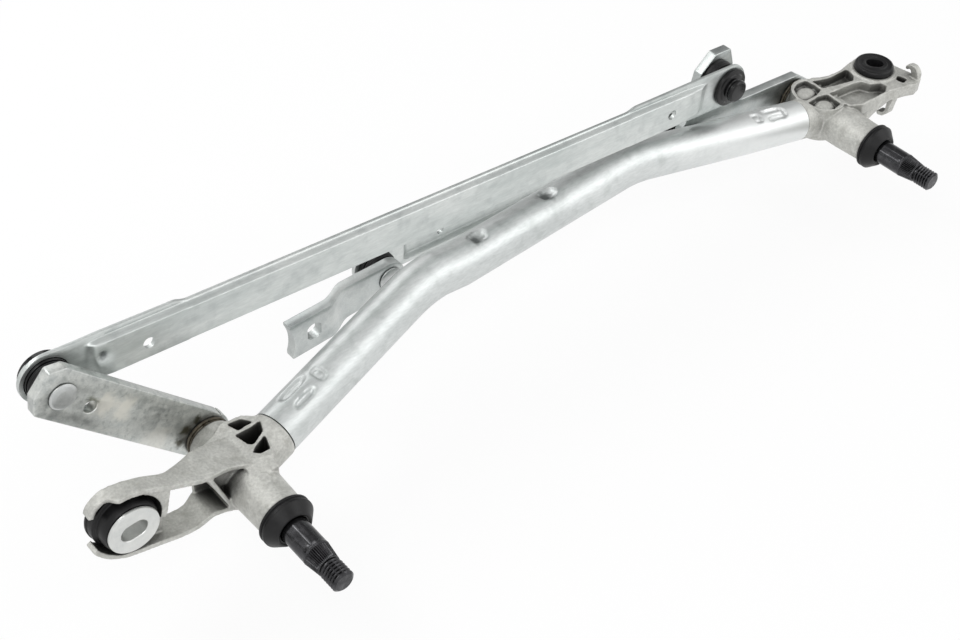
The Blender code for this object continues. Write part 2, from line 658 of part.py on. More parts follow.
turned("far_boot", [
    (far_mouth + GAP, STUD_COLLAR_RADIUS + 0.6), (far_mouth + GAP, SOCKET_FLANGE_RADIUS - 0.5),
    (far_mouth + 1.6, SOCKET_FLANGE_RADIUS), (FAR_LEVER_FRONT - 0.7, SOCKET_FLANGE_RADIUS),
    (FAR_LEVER_FRONT - 0.7, STUD_COLLAR_RADIUS + 0.6),
], (far_ball_x, 0.0, far_ball_z), Y, LONG, RUBBER)

# Short link
short_length = hypot(short_ball_x - CRANK_BALL_X, short_ball_z - CRANK_BALL_Z)
strip = SHORT_LINK_HALF_WIDTH
groove = SHORT_LINK_GROOVE
groove_depth = SHORT_LINK_GROOVE_DEPTH
short_stations = [
    (-10.8, 0.62 * strip, groove - 1.0, 0.0),
    (-7.6, strip, groove, 0.0),
    (17.0, strip, groove, 0.0),
    (22.0, strip, groove, -groove_depth),
    (34.0, strip - 0.4, groove + 0.4, -groove_depth),
    (short_length - 30.0, strip - 0.4, groove + 0.4, -groove_depth),
    (short_length - 22.0, strip, groove, 0.0),
    (short_length + 7.6, strip, groove, 0.0),
    (short_length + 10.8, 0.62 * strip, groove - 1.0, 0.0),
]
short_link = pressed_link("short_link", (CRANK_BALL_X, CRANK_BALL_Z), (short_ball_x, short_ball_z),
                          short_stations, short_front, SHORT)
short_body = ball_cavity + 1.3
short_mouth = short_front - SHORT_SOCKET_REACH
short_socket_back = short_ball_level + ball_cavity + 1.5
for side, x, z in (("crank", CRANK_BALL_X, CRANK_BALL_Z), ("lever", short_ball_x, short_ball_z)):
    cut(short_link, pin("short_link_" + side + "_socket_hole", x, z, short_body + GAP,
                        short_front - 3, short_back + 5, SHORT))
    socket_profile = [
        (short_socket_back, 0.0), (short_socket_back, short_body - 1.8),
        (short_socket_back - 1.2, short_body + 0.9),
        (short_back + GAP, short_body + 0.9), (short_back + GAP, short_body), (short_front - GAP, short_body),
        (short_front - GAP, SHORT_SOCKET_FLANGE_RADIUS), (short_mouth, SHORT_SOCKET_FLANGE_RADIUS),
        (short_mouth, SOCKET_MOUTH_RADIUS + 0.3),
    ]
    socket_profile += cavity_profile(short_ball_level, -1.0)
    turned(side + "_short_socket", socket_profile, (x, 0.0, z), Y, SHORT, PLASTIC, COARSE)
    boot_back = short_mouth - GAP
    turned(side + "_short_boot", [
        (boot_back, STUD_COLLAR_RADIUS + 0.6), (boot_back, SHORT_SOCKET_FLANGE_RADIUS),
        (boot_back - SHORT_BOOT_LENGTH + 1.0, SHORT_SOCKET_FLANGE_RADIUS),
        (boot_back - SHORT_BOOT_LENGTH, SHORT_SOCKET_FLANGE_RADIUS - 0.8),
        (boot_back - SHORT_BOOT_LENGTH, STUD_COLLAR_RADIUS + 0.6),
    ], (x, 0.0, z), Y, SHORT, RUBBER, COARSE)
short_slope = (short_ball_z - CRANK_BALL_Z) / short_length
cut(short_link, pin("short_link_hole", CRANK_BALL_X + SHORT_LINK_HOLE_AT,
                    CRANK_BALL_Z + short_slope * SHORT_LINK_HOLE_AT - 0.9, SHORT_LINK_HOLE_RADIUS,
                    short_front - 3, short_back + 5, SHORT))

# Crank, joggled between its motor end and its ball end
crank_x = cos(radians(CRANK_ANGLE))
crank_z = sin(radians(CRANK_ANGLE))
hub_x = CRANK_BALL_X - CRANK_LENGTH * crank_x
hub_z = CRANK_BALL_Z - CRANK_LENGTH * crank_z
crank_stations = [
    (-CRANK_HUB_END, CRANK_HUB_HALF_WIDTH, CRANK_JOGGLE),
    (9.5, CRANK_HUB_HALF_WIDTH - 0.3, CRANK_JOGGLE),
    (20.5, CRANK_HUB_HALF_WIDTH - 0.8, 0.0),
    (CRANK_LENGTH, CRANK_TIP_HALF_WIDTH, 0.0),
    (CRANK_LENGTH + 0.5 * CRANK_TIP_HALF_WIDTH, 0.87 * CRANK_TIP_HALF_WIDTH, 0.0),
    (CRANK_LENGTH + 0.85 * CRANK_TIP_HALF_WIDTH, 0.53 * CRANK_TIP_HALF_WIDTH, 0.0),
]
crank_sections = []
for along, edge, forward in crank_stations:
    base_x = hub_x + along * crank_x
    base_z = hub_z + along * crank_z
    crank_sections.append([
        (base_x - up * crank_z, y - forward, base_z + up * crank_x)
        for up, y in ((-edge, FAR_LEVER_FRONT), (edge, FAR_LEVER_FRONT), (edge, FAR_LEVER_BACK),
                      (-edge, FAR_LEVER_BACK))
    ])
crank = loft("motor_crank", crank_sections, CRANK, GALVANISED)
crank_front = FAR_LEVER_FRONT - CRANK_JOGGLE
flat_angle = degrees(acos(CRANK_FLAT / CRANK_HOLE_RADIUS))
crank_hole = [(hub_x + a, hub_z + b) for a, b in
              arc(0.0, 0.0, CRANK_HOLE_RADIUS, -90.0 + flat_angle, 90.0 - flat_angle, 6)
              + arc(0.0, 0.0, CRANK_HOLE_RADIUS, 90.0 + flat_angle, 270.0 - flat_angle, 6)]
cut(crank,
    plate("crank_motor_hole", crank_hole, crank_front - 2, crank_front + PLATE_THICKNESS + 2, CRANK),
    pin("crank_end_hollow", hub_x - CRANK_HOLLOW_AT * crank_x, hub_z - CRANK_HOLLOW_AT * crank_z,
        CRANK_HOLLOW_RADIUS, crank_front - 2,
        crank_front + PLATE_THICKNESS + 2, CRANK, 48),
    pin("crank_stud_hole", CRANK_BALL_X, CRANK_BALL_Z, STUD_SHANK_RADIUS + GAP, before, behind, CRANK))
ball_stud("crank_ball_stud", CRANK_BALL_X, CRANK_BALL_Z, FAR_LEVER_BACK, 1.0, short_ball_level, CRANK)

# Frame tube, swept along three straight runs with two bends, its ends crimped into the spigots
run_1 = (TUBE_BEND_1 - TUBE_NEAR_END).normalized()
run_2 = (TUBE_BEND_2 - TUBE_BEND_1).normalized()
run_3 = (TUBE_FAR_END - TUBE_BEND_2).normalized()
length_1 = (TUBE_BEND_1 - TUBE_NEAR_END).length
length_3 = (TUBE_FAR_END - TUBE_BEND_2).length
tube_start = NEAR_COLLAR_LENGTH + GAP
tube_end = FAR_COLLAR_LENGTH + GAP

# Dimples are (along, angle round the tube, half length, half width in degrees, depth)
near_dimples = [(50.6, 83.0, 4.5, 24.0, CRIMP_DEPTH), (38.0, 64.0, 9.0, 17.0, 0.8 * CRIMP_DEPTH),
                (38.0, 130.0, 9.0, 17.0, 0.8 * CRIMP_DEPTH), (44.0, 250.0, 6.0, 24.0, CRIMP_DEPTH)]
middle_dimples = [(39.3, 83.0, 6.0, 30.0, 1.2), (86.6, 91.0, 6.0, 30.0, 1.2)]
far_dimples = [(length_3 - 52.4, 83.0, 4.5, 24.0, CRIMP_DEPTH),
               (length_3 - 40.0, 57.0, 7.0, 17.0, 0.8 * CRIMP_DEPTH),
               (length_3 - 40.0, 120.0, 7.0, 17.0, 0.8 * CRIMP_DEPTH),
               (length_3 - 46.0, 250.0, 6.0, 24.0, CRIMP_DEPTH)]


def pressed_in(along, around, dimples):
    deepest = 0.0
    for centre, angle, half_length, half_width, depth in dimples:
        turn = (around - angle + 180.0) % 360.0 - 180.0
        reach = ((along - centre) / half_length) ** 2 + (turn / half_width) ** 2
        if reach < 1.0:
            deepest = max(deepest, depth * (1.0 - reach) ** 0.5)
    return deepest


def tube_rings(radius):
    """Rings along the tube, whose dimples press the bore in as far as the outside."""
    stations = []
    for along in (tube_start, 28.0, 31.5, 35.0, 38.0, 41.0, 44.5, 47.5, 50.6, 53.5, 57.0):
        stations.append((TUBE_NEAR_END + along * run_1, run_1, along, near_dimples))
    for corner, first, second in ((TUBE_BEND_1, run_1, run_2), (TUBE_BEND_2, run_2, run_3)):
        turn = first.angle(second)
        reach = TUBE_BEND_RADIUS * (1.0 - cos(0.5 * turn)) / sin(0.5 * turn)
        begin = corner - reach * first
        inward = (second - first.dot(second) * first).normalized()
        for step in range(5):
            angle = turn * step / 4.0
            place = begin + TUBE_BEND_RADIUS * (sin(angle) * first + (1.0 - cos(angle)) * inward)
            stations.append((place, cos(angle) * first + sin(angle) * inward, 0.0, []))
        if corner is TUBE_BEND_1:
            for along in (32.0, 35.5, 39.3, 43.0, 46.5, 79.5, 83.0, 86.6, 90.0, 93.5):
                stations.append((TUBE_BEND_1 + along * run_2, run_2, along, middle_dimples))
    for back in (59.0, 55.5, 52.4, 49.5, 46.5, 43.0, 40.0, 37.0, 33.0, tube_end):
        stations.append((TUBE_FAR_END - back * run_3, run_3, length_3 - back, far_dimples))
    rings = []
    for place, direction, along, dimples in stations:
        sideways = direction.cross(Z).normalized()
        up = sideways.cross(direction)
        ring = []
        for step in range(TUBE_SIDES):
            around = 360.0 * step / TUBE_SIDES
            size = radius - pressed_in(along, around, dimples)
            ring.append(place + size * (cos(radians(around)) * sideways + sin(radians(around)) * up))
        rings.append(ring)
    return rings


outside = tube_rings(TUBE_RADIUS)
inside = tube_rings(TUBE_RADIUS - TUBE_WALL)
tube_loop = outside + inside[::-1]
tube_corners = [corner for ring in tube_loop for corner in ring]
tube_faces = []
for row in range(len(tube_loop)):
    one = row * TUBE_SIDES
    two = (row + 1) % len(tube_loop) * TUBE_SIDES
    for step in range(TUBE_SIDES):
        following = (step + 1) % TUBE_SIDES
        tube_faces.append([one + step, one + following, two + following, two + step])
solid("frame_tube", tube_corners, tube_faces, FRAME, GALVANISED)


def spigot_profile(collar, radius, length):
    land = TUBE_RADIUS - TUBE_WALL - GAP
    waist = land - CRIMP_DEPTH - 0.1
    return [
        (-4.0, 0.0), (-4.0, radius), (collar - 0.6, radius), (collar, radius - 0.5), (collar + 0.01, land),
        (collar + SPIGOT_LAND, land), (collar + SPIGOT_LAND + 0.1, waist), (collar + length - 0.1, waist),
        (collar + length, land), (collar + length + SPIGOT_LAND, land),
        (collar + length + SPIGOT_LAND + 1.0, land - 1.0), (collar + length + SPIGOT_LAND + 1.0, 0.0),
    ]


def ribbon(name, stations, body):
    """A curved wall. Each station is (x, z, front, back), and its thickness lies to the path's left."""
    sections = []
    for index, (x, z, front, back) in enumerate(stations):
        before_point = stations[max(index - 1, 0)]
        after_point = stations[min(index + 1, len(stations) - 1)]
        run = hypot(after_point[0] - before_point[0], after_point[1] - before_point[1])
        out_x = (after_point[1] - before_point[1]) / run * ARM_WALL
        out_z = -(after_point[0] - before_point[0]) / run * ARM_WALL
        sections.append([(x, ARM_FRONT + front, z), (x, ARM_FRONT + back, z),
                         (x + out_x, ARM_FRONT + back, z + out_z), (x + out_x, ARM_FRONT + front, z + out_z)])
    return loft(name, sections, body)


# Near housing: barrel, table with its ribs, collar and spigot, and the fork that holds the grommet
near_housing = turned("near_housing", barrel_profile, (0.0, 0.0, 0.0), Y, FRAME, CAST)
near_table = slab("near_table", [
    (-16.6, 78.7), (-3.2, 83.2), (2.3, 86.8), (11.5, 85.8), (17.0, 81.3), (10.3, 57.2), (3.2, 59.0),
    (-3.1, 61.2),
    (-15.0, 64.0),
], TABLE_BOTTOM, TABLE_TOP, FRAME)
near_spigot = turned("near_spigot", spigot_profile(NEAR_COLLAR_LENGTH, NEAR_COLLAR_RADIUS,
                                                   NEAR_SPIGOT_LENGTH),
                     TUBE_NEAR_END, run_1, FRAME)
near_upper_wall = ribbon("near_upper_wall", [
    (0.0, 9.8, 1.0, 19.0), (-9.0, 12.8, 2.2, 18.5), (-17.0, 15.8, 0.4, 16.5), (-22.0, 16.9, 0.0, 14.6),
    (-29.6, 20.0, 0.0, 10.6), (-35.8, 22.6, 0.0, 8.1), (-44.5, 27.0, 0.0, 7.9), (-52.0, 29.4, 0.0, 8.0),
    (-57.5, 30.0, 0.0, 7.4), (-60.5, 29.5, 4.3, 7.0), (-64.2, 27.8, 4.4, 6.6), (-67.2, 24.2, 4.4, 6.4),
    (-67.6, 20.0, 4.4, 6.2),
], FRAME)
near_lower_wall = ribbon("near_lower_wall", [
    (-69.4, 9.6, 4.0, 8.0), (-66.2, 6.0, 3.0, 8.6), (-62.4, 3.2, 1.0, 9.0), (-58.0, 1.2, 0.0, 9.0),
    (-54.0, 0.4, 0.0, 9.0), (-47.5, -1.0, 0.0, 9.0), (-41.0, -2.4, 0.0, 11.6), (-33.0, -4.3, 0.0, 12.4),
    (-25.6, -4.6, 0.0, 12.6), (-19.0, -2.8, 0.0, 15.0), (-12.0, -4.2, 0.0, 16.0), (-5.0, -7.6, 0.0, 16.0),
], FRAME)
near_seat = plate("near_seat", [
    (-46.0, 27.4), (-35.0, 22.0), (-37.3, 11.0), (-38.8, -2.6), (-47.0, -1.6), (-50.0, 14.0),
], ARM_FRONT + 1.0, ARM_FRONT + ARM_DEPTH - 0.2, FRAME)
near_rib = plate("near_rib", [(-20.2, 17.2), (-18.2, 17.2), (-9.0, -5.6), (-11.0, -5.6)], ARM_FRONT,
                 FORK_BACK, FRAME)
near_web = plate("near_web", [(-20.0, 16.6), (0.0, 10.6), (0.0, -7.0), (-12.0, -5.0), (-19.0, -3.6)],
                 FORK_BACK - 2.5, FORK_BACK, FRAME)
join(near_housing, near_table, near_spigot, near_upper_wall, near_lower_wall, near_seat, near_rib, near_web)
near_pockets = [
    [(4.3, 85.0), (10.4, 84.2), (13.6, 79.8), (6.1, 79.5)],
    [(4.0, 77.7), (14.8, 77.4), (13.0, 73.0), (6.9, 70.2), (5.7, 71.0)],
    [(7.4, 68.2), (12.4, 70.6), (9.4, 60.4), (5.4, 60.9), (4.3, 65.4)],
]
for number, outline in enumerate(near_pockets):
    cut(near_housing, slab("near_pocket_%d" % (number + 1), outline, POCKET_FLOOR, TABLE_TOP + 4.0, FRAME))
eye_bore = GROMMET_RADIUS + GAP
cut(near_housing,
    pin("near_eye_bore", NEAR_EYE_X, NEAR_EYE_Z, eye_bore, ARM_FRONT - 4, ARM_FRONT + 20, FRAME, FINE),
    pin("near_barrel_bore", 0.0, 0.0, barrel_bore, BARREL_FRONT - 2, BARREL_BACK + 2, FRAME, FINE))

grommet_back = ARM_FRONT + ARM_DEPTH + GAP
rubber_bore = SLEEVE_RADIUS + GAP
turned("near_grommet", [
    (SLEEVE_FACE + 1.7, rubber_bore), (SLEEVE_FACE + 1.7, SLEEVE_FLANGE_RADIUS + 0.6),
    (SLEEVE_FACE + 3.0, GROMMET_RADIUS - 0.8), (SLEEVE_FACE + 3.6, GROMMET_RADIUS),
    (grommet_back, GROMMET_RADIUS), (grommet_back, GROMMET_RADIUS + 1.6),
    (grommet_back + 2.0, GROMMET_RADIUS + 1.0),
    (grommet_back + 2.0, rubber_bore),
], (NEAR_EYE_X, 0.0, NEAR_EYE_Z), Y, FRAME, RUBBER)
sleeve_back = grommet_back + 2.6
near_sleeve_part = turned("near_grommet_sleeve", [
    (SLEEVE_FACE, 0.0), (SLEEVE_FACE, SLEEVE_FLANGE_RADIUS - 0.3), (SLEEVE_FACE + 0.3, SLEEVE_FLANGE_RADIUS),
    (SLEEVE_FACE + 1.4, SLEEVE_FLANGE_RADIUS), (SLEEVE_FACE + 1.4, SLEEVE_RADIUS),
    (sleeve_back, SLEEVE_RADIUS),
    (sleeve_back, 0.0),
], (NEAR_EYE_X, 0.0, NEAR_EYE_Z), Y, FRAME, GALVANISED)
cut(near_sleeve_part, plate("near_sleeve_slot", obround(NEAR_EYE_X, NEAR_EYE_Z, SLEEVE_SLOT_LENGTH,
                                                        SLEEVE_SLOT_WIDTH),
                            SLEEVE_FACE - 2, sleeve_back + 2, FRAME))


# Far housing: barrel, oval boss, collar and spigot, and the ribbed arm with its eye, hook and finger
def far(points):
    return [(SPINDLE_SPACING + x, y) for x, y in points]


def oval(half_width, half_length, level, count=28):
    """A level ring round the boss, in X, Y and Z."""
    ring = []
    for step in range(count):
        angle = 2.0 * pi * step / count
        ring.append((SPINDLE_SPACING + BOSS_X + half_width * cos(angle), BOSS_Y + half_length * sin(angle),
                     level))
    return ring


far_barrel_profile = [(along + FAR_SETBACK, radius) for along, radius in barrel_profile]
far_housing = turned("far_housing", far_barrel_profile, (SPINDLE_SPACING, 0.0, 0.0), Y, FRAME, CAST)
far_boss = loft("far_boss", [
    oval(BOSS_HALF_WIDTH - 3.4, BOSS_HALF_LENGTH - 3.4, BOSS_BOTTOM),
    oval(BOSS_HALF_WIDTH - 1.2, BOSS_HALF_LENGTH - 1.2, BOSS_BOTTOM + 2.0),
    oval(BOSS_HALF_WIDTH, BOSS_HALF_LENGTH, FAR_ARM_TOP),
], FRAME)
far_spigot = turned("far_spigot", spigot_profile(FAR_COLLAR_LENGTH, FAR_COLLAR_RADIUS, FAR_SPIGOT_LENGTH),
                    TUBE_FAR_END, -run_3, FRAME)
arm_front_y = 77.0
far_arm = slab("far_arm", far([
    (2.2, 81.3), (9.2, arm_front_y + 0.4), (20.5, arm_front_y), (31.5, arm_front_y),
    (HOOK_X - 9.4, arm_front_y - 2.6),
    (HOOK_X - 4.5, 72.6), (HOOK_X + 2.2, 74.4), (HOOK_X + 2.2, 80.0), (HOOK_X + 0.6, 88.0),
    (FAR_EYE_X + 12.6, FAR_EYE_Y - 1.0), (FAR_EYE_X + 7.5, FAR_EYE_Y + 10.0), (FAR_EYE_X, FAR_EYE_Y + 12.9),
    (FAR_EYE_X - 6.0, FAR_EYE_Y + 12.2), (24.5, 105.8), (15.5, 106.1), (10.2, 107.8), (4.0, 111.5),
]), FAR_ARM_BOTTOM, FAR_ARM_TOP, FRAME)
far_gusset = plate("far_gusset", [
    (SPINDLE_SPACING + x, z) for x, z in (
        (4.0, BOSS_BOTTOM + 1.0), (12.0, BOSS_BOTTOM + 5.0), (23.0, 0.6), (37.0, FAR_ARM_BOTTOM - 0.4),
        (37.0, FAR_ARM_BOTTOM + 1.0), (4.0, FAR_ARM_BOTTOM + 1.0))
], arm_front_y + 0.8, arm_front_y + 3.0, FRAME)
hook_front = 74.6
far_hook = slice_across("far_hook", [
    (hook_front + 0.2, 5.6), (hook_front, 14.6), (hook_front + 1.4, 17.2), (hook_front + 4.0, 18.8),
    (hook_front + 6.8, 18.5), (hook_front + 9.0, 16.6), (hook_front + 8.9, 15.0), (hook_front + 7.6, 14.7),
    (hook_front + 6.6, 15.9), (hook_front + 5.4, 15.6), (hook_front + 4.9, 14.4), (hook_front + 4.9, 5.6),
], SPINDLE_SPACING + HOOK_X - 0.5 * HOOK_THICKNESS, SPINDLE_SPACING + HOOK_X + 0.5 * HOOK_THICKNESS, FRAME)
far_finger = slice_across("far_finger", [
    (arm_front_y + 0.3, FAR_ARM_BOTTOM + 1.0), (arm_front_y + 1.9, -6.2), (arm_front_y + 4.8, -9.4),
    (arm_front_y + 7.8, -9.8), (arm_front_y + 9.0, -8.2), (arm_front_y + 7.6, -7.2),
    (arm_front_y + 4.8, -6.8),
    (arm_front_y + 3.8, -4.8), (arm_front_y + 3.8, FAR_ARM_BOTTOM + 1.0),
], SPINDLE_SPACING + FINGER_X - 0.5 * FINGER_WIDTH, SPINDLE_SPACING + FINGER_X + 0.5 * FINGER_WIDTH, FRAME)
join(far_housing, far_boss, far_spigot, far_arm, far_gusset, far_hook, far_finger)

# Shallow pockets over the barrel, deep ones beside it, and two domes in the boss's cells
far_cells = [
    [(-9.0, 107.6), (-4.2, 109.7), (0.9, 109.0), (1.4, 104.7), (1.0, 100.2), (-3.4, 98.4), (-12.6, 98.4),
     (-12.6, 102.0)],
    [(-12.6, 95.8), (-4.4, 96.6), (0.5, 94.9), (-0.4, 86.0), (-6.3, 84.9), (-11.2, 89.4)],
    [(2.4, 107.0), (9.6, 104.8), (9.6, 98.9), (2.6, 100.2)],
    [(2.0, 94.8), (9.6, 94.0), (9.6, 79.4), (3.2, 82.0), (1.2, 86.0)],
]
for number, outline in enumerate(far_cells):
    cut(far_housing, slab("far_cell_%d" % (number + 1), far(outline), BARREL_ROOF, FAR_ARM_TOP + 4.0, FRAME))
far_pockets = [
    [(9.0, 105.0), (14.5, 103.5), (27.0, 103.4), (25.4, 98.4), (21.9, 96.0), (9.0, 99.0)],
    [(9.0, 94.1), (20.3, 93.2), (25.0, 91.8), (27.0, 86.6), (31.4, 83.4), (32.0, 81.8), (28.4, 79.0),
     (21.7, 78.6),
     (9.0, 79.6)],
    [(41.8, 82.0), (46.0, 84.0), (47.4, 78.8), (42.7, 77.5)],
]
for number, outline in enumerate(far_pockets):
    cut(far_housing, slab("far_pocket_%d" % (number + 1), far(outline), FAR_ARM_FLOOR, FAR_ARM_TOP + 4.0,
                          FRAME))
far_domes = [(-5.2, 104.0, 6.6, 4.6), (-5.6, 90.8, 5.6, 4.8)]
dome_steps = [(-1.0, 1.0), (0.6, 0.94), (1.9, 0.7), (2.5, 0.3)]
for number, (x, y, half_width, half_length) in enumerate(far_domes):
    rings = []
    for rise, share in dome_steps:
        ring = []
        for step in range(DOME_SIDES):
            angle = 2.0 * pi * step / DOME_SIDES
            ring.append((SPINDLE_SPACING + x + share * half_width * cos(angle),
                         y + share * half_length * sin(angle), BARREL_ROOF + rise))
        rings.append(ring)
    join(far_housing, loft("far_dome_%d" % (number + 1), rings, FRAME))
far_eye = turned("far_eye", [
    (FAR_EYE_BOTTOM, 0.0), (FAR_EYE_BOTTOM, FAR_EYE_RADIUS + GAP + FAR_EYE_WALL),
    (FAR_EYE_TOP, FAR_EYE_RADIUS + GAP + FAR_EYE_WALL), (FAR_EYE_TOP, 0.0),
], (SPINDLE_SPACING + FAR_EYE_X, FAR_EYE_Y, 0.0), Z, FRAME, None, FINE, 0.3)
join(far_housing, far_eye)
cut(far_housing,
    turned("far_eye_bore", [
        (FAR_EYE_BOTTOM - 4.0, 0.0), (FAR_EYE_BOTTOM - 4.0, FAR_EYE_RADIUS + GAP),
        (FAR_EYE_TOP + 4.0, FAR_EYE_RADIUS + GAP), (FAR_EYE_TOP + 4.0, 0.0),
    ], (SPINDLE_SPACING + FAR_EYE_X, FAR_EYE_Y, 0.0), Z, FRAME),
    pin("far_barrel_bore", SPINDLE_SPACING, 0.0, barrel_bore, FAR_SETBACK + BARREL_FRONT - 2,
        FAR_SETBACK + BARREL_BACK + 2, FRAME, FINE))

grommet_low = FAR_EYE_BOTTOM - GAP
far_grommet = turned("far_grommet", [
    (grommet_low - 2.4, 0.0), (grommet_low - 2.4, FAR_EYE_RADIUS),
    (grommet_low - 1.6, FAR_GROMMET_FLANGE_RADIUS),
    (grommet_low, FAR_GROMMET_FLANGE_RADIUS), (grommet_low, FAR_EYE_RADIUS),
    (FAR_EYE_TOP + GAP, FAR_EYE_RADIUS),
    (FAR_EYE_TOP + GAP, FAR_GROMMET_FLANGE_RADIUS), (FAR_EYE_TOP + 1.2, FAR_GROMMET_FLANGE_RADIUS),
    (FAR_GROMMET_TOP - 0.7, FAR_GROMMET_FLANGE_RADIUS - 0.5),
    (FAR_GROMMET_TOP, FAR_GROMMET_FLANGE_RADIUS - 1.3),
    (FAR_GROMMET_TOP, 0.0),
], (SPINDLE_SPACING + FAR_EYE_X, FAR_EYE_Y, 0.0), Z, FRAME, RUBBER)
slot_turn = radians(FAR_GROMMET_SLOT_TURN)
far_slot = [(SPINDLE_SPACING + FAR_EYE_X + x * cos(slot_turn) - y * sin(slot_turn),
             FAR_EYE_Y + x * sin(slot_turn) + y * cos(slot_turn))
            for x, y in obround(0.0, 0.0, FAR_GROMMET_SLOT_LENGTH, FAR_GROMMET_SLOT_WIDTH)]
cut(far_grommet, slab("far_grommet_slot", far_slot, grommet_low - 6.0, FAR_GROMMET_TOP + 3.0, FRAME))
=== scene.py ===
import bpy
import bmesh
from math import acos, asin, cos, exp, hypot, pi, radians, sin, sqrt
from mathutils import Matrix, Vector


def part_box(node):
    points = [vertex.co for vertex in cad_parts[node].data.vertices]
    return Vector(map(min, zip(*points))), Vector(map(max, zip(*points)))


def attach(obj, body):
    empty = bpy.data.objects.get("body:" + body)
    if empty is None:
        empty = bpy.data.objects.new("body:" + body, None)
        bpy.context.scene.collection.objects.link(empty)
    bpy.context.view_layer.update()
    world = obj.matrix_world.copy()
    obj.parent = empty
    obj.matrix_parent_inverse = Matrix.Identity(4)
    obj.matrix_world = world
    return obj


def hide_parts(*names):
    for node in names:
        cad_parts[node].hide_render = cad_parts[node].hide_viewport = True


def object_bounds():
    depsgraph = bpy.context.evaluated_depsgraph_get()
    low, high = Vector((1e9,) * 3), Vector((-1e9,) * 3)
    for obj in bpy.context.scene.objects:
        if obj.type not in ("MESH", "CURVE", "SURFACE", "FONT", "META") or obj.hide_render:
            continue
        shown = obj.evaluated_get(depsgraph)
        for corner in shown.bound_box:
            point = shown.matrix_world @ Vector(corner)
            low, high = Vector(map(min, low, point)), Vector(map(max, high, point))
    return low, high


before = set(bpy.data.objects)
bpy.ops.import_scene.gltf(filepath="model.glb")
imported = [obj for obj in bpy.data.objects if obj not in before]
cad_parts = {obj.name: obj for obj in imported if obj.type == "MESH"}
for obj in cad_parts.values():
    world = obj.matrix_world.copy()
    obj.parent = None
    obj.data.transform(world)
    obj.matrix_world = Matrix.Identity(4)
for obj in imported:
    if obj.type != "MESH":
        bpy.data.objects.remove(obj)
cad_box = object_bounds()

MM = 0.001
X = Vector((1.0, 0.0, 0.0))
Y = Vector((0.0, 1.0, 0.0))
Z = Vector((0.0, 0.0, 1.0))

# Places, in millimetres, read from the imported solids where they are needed


def span(node, axis):
    """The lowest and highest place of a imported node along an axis, in millimetres."""
    low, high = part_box(node)
    return 1000.0 * low[axis], 1000.0 * high[axis]


def middle(node):
    low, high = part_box(node)
    return [500.0 * (a + b) for a, b in zip(low, high)]


LEVER_FRONT, LEVER_BACK = span("near_lever", 1)
FAR_LEVER_FRONT, FAR_LEVER_BACK = span("far_lever", 1)
SPINDLE_SPACING = middle("far_spindle")[0]
FAR_SETBACK = span("far_spindle", 1)[0]
NEAR_BALL = middle("near_ball_stud")
FAR_BALL = middle("far_long_link_stud")
SHORT_BALL = middle("far_short_link_stud")
CRANK_BALL = middle("crank_ball_stud")
# Both links are pressed from one sheet, and the balls' centres lie just in front of it
LINK_SHEET = 2.0
BALL_LEAD = 0.2
link_front = span("long_link", 1)[1] - LINK_SHEET
link_back = link_front + LINK_SHEET
ball_level = link_front - BALL_LEAD
short_front = span("short_link", 1)[0]
short_back = short_front + LINK_SHEET
short_level = short_front - BALL_LEAD


# Colours and nodes


def linear(colour):
    """An sRGB hex colour as linear red, green, blue and alpha."""
    channels = []
    for start in (1, 3, 5):
        share = int(colour[start:start + 2], 16) / 255.0
        channels.append(share / 12.92 if share <= 0.04045 else ((share + 0.055) / 1.055) ** 2.4)
    return (*channels, 1.0)


def add(tree, kind, inputs=None, **settings):
    """Adds a node. Each input is a value, an output of a node, or a node that gives its first output."""
    node = tree.nodes.new("ShaderNode" + kind)
    for name, value in settings.items():
        setattr(node, name, value)
    for name, value in (inputs or {}).items():
        if isinstance(value, bpy.types.Node):
            value = value.outputs[0]
        if isinstance(value, bpy.types.NodeSocket):
            tree.links.new(value, node.inputs[name])
        else:
            node.inputs[name].default_value = value
    return node


def blank(name):
    made = bpy.data.materials.new(name)
    made.use_nodes = True
    made.node_tree.nodes.clear()
    return made, made.node_tree


# Nearly all values of the noise lie between these two
NOISE_LOW = 0.3
NOISE_HIGH = 0.7


